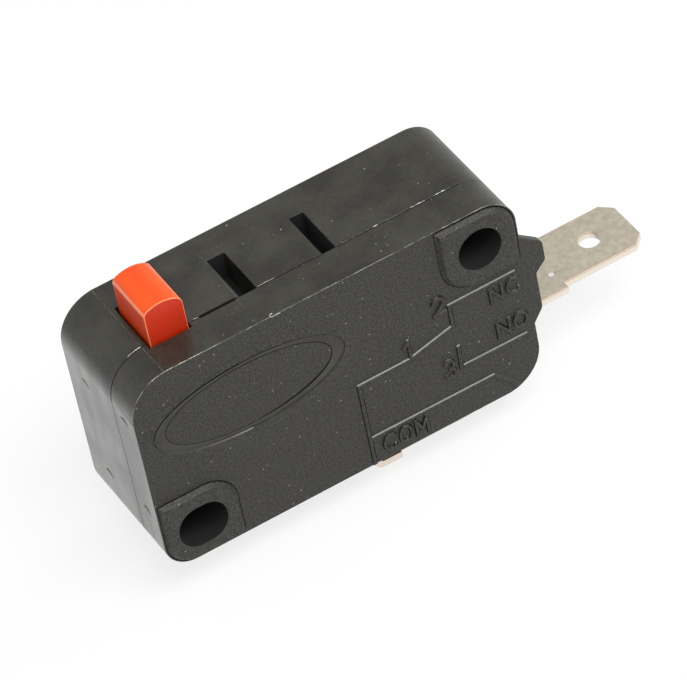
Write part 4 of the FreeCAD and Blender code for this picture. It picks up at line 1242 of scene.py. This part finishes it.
table_mesh = bpy.data.meshes.new("table")
corners = [(-1, -1), (1, -1), (1, 1), (-1, 1)]
corners = [(a * TABLE_HALF, b * TABLE_HALF, CAD_BOX[0].z) for a, b in corners]
table_mesh.from_pydata(corners, [], [(0, 1, 2, 3)])
table_mesh.materials.append(white_table())
table = bpy.data.objects.new("table", table_mesh)
bpy.context.scene.collection.objects.link(table)
print("table at", round(CAD_BOX[0].z / MM, 2), "mm")

# %% [markdown]
# What the plastic mirrors is white all round, a little darker on the far right. Its matt colour is
# lit less than that, which keeps black plastic black, and the camera sees plain white. Two lamps
# add the soft highlights: one by the camera, on the slopes of the relief, and one on the right.

# %% The white surroundings and two soft lamps
DARKER_SIDE = Vector((0.27, 0.69, 0.67))
DARKER_TO = 0.76
FILL = 0.42
LIT_AT = (-0.01, 0, 0)
world = bpy.data.worlds.new("white_room")
world.use_nodes = True
bpy.context.scene.world = world
room = world.node_tree
room.nodes.clear()
rays = add(room, "LightPath").outputs
toward = {0: add(room, "TexCoord").outputs["Generated"], 1: DARKER_SIDE}
toward = add(room, "VectorMath", toward, operation="DOT_PRODUCT")
wall = add(room, "MapRange", {0: toward, 1: 0.55, 2: 0.95, 3: 1.0, 4: DARKER_TO})
level = add(room, "MapRange", {0: rays["Is Camera Ray"], 3: FILL, 4: 1.0})
level = add(room, "Mix", {0: rays["Is Glossy Ray"], 2: level, 3: wall})
white = add(room, "Background", {"Color": paint("#ffffff"), "Strength": level})
add(room, "OutputWorld", {"Surface": white})


def soft_lamp(name, place, wide, deep, watts):
    """A round or oval area lamp that looks at the part."""
    lamp = bpy.data.lights.new(name, "AREA")
    lamp.shape = "ELLIPSE"
    lamp.size = wide
    lamp.size_y = deep
    lamp.energy = watts
    holder = bpy.data.objects.new(name, lamp)
    holder.location = place
    holder.rotation_mode = "QUATERNION"
    holder.rotation_quaternion = (Vector(LIT_AT) - Vector(place)).to_track_quat("-Z", "Y")
    bpy.context.scene.collection.objects.link(holder)
    return holder


softbox = soft_lamp("softbox_by_camera", (0.03, -0.22, 0.39), 0.38, 0.2, 1.7)
key = soft_lamp("key_right", (0.4, 0.05, 0.3), 0.3, 0.3, 0.5)
print("lamps:", softbox.name, "and", key.name)

# %% [markdown]
# The photograph was taken with a long lens from above the left corner, slightly rolled. The
# camera is set by what a photographer would say: where it aims, from how far, from which side and
# height, with how much roll, and how long the lens is.

# %% The camera
AIM = Vector((-8.26, 0.0, -6.64)) * MM
DISTANCE = 378.2 * MM
AZIMUTH = math.radians(-21.78)
ELEVATION = math.radians(42.61)
ROLL = math.radians(-12.37)
LENS = 311.43
lens = bpy.data.cameras.new("camera")
lens.lens = LENS
lens.sensor_width = 36.0
lens.clip_start = 0.01
lens.clip_end = 10.0
camera = bpy.data.objects.new("camera", lens)
back = Vector((
    math.sin(AZIMUTH) * math.cos(ELEVATION),
    -math.cos(AZIMUTH) * math.cos(ELEVATION),
    math.sin(ELEVATION),
))
level_right = Vector((math.cos(AZIMUTH), math.sin(AZIMUTH), 0.0))
level_up = back.cross(level_right)
right = level_right * math.cos(ROLL) + level_up * math.sin(ROLL)
turned = Matrix((right, back.cross(right), back)).transposed().to_4x4()
camera.matrix_world = Matrix.Translation(AIM + back * DISTANCE) @ turned
bpy.context.scene.collection.objects.link(camera)
bpy.context.scene.camera = camera
bpy.context.scene.view_settings.view_transform = "Standard"
print("camera", round(DISTANCE / MM), "mm away with a", round(LENS), "mm lens")
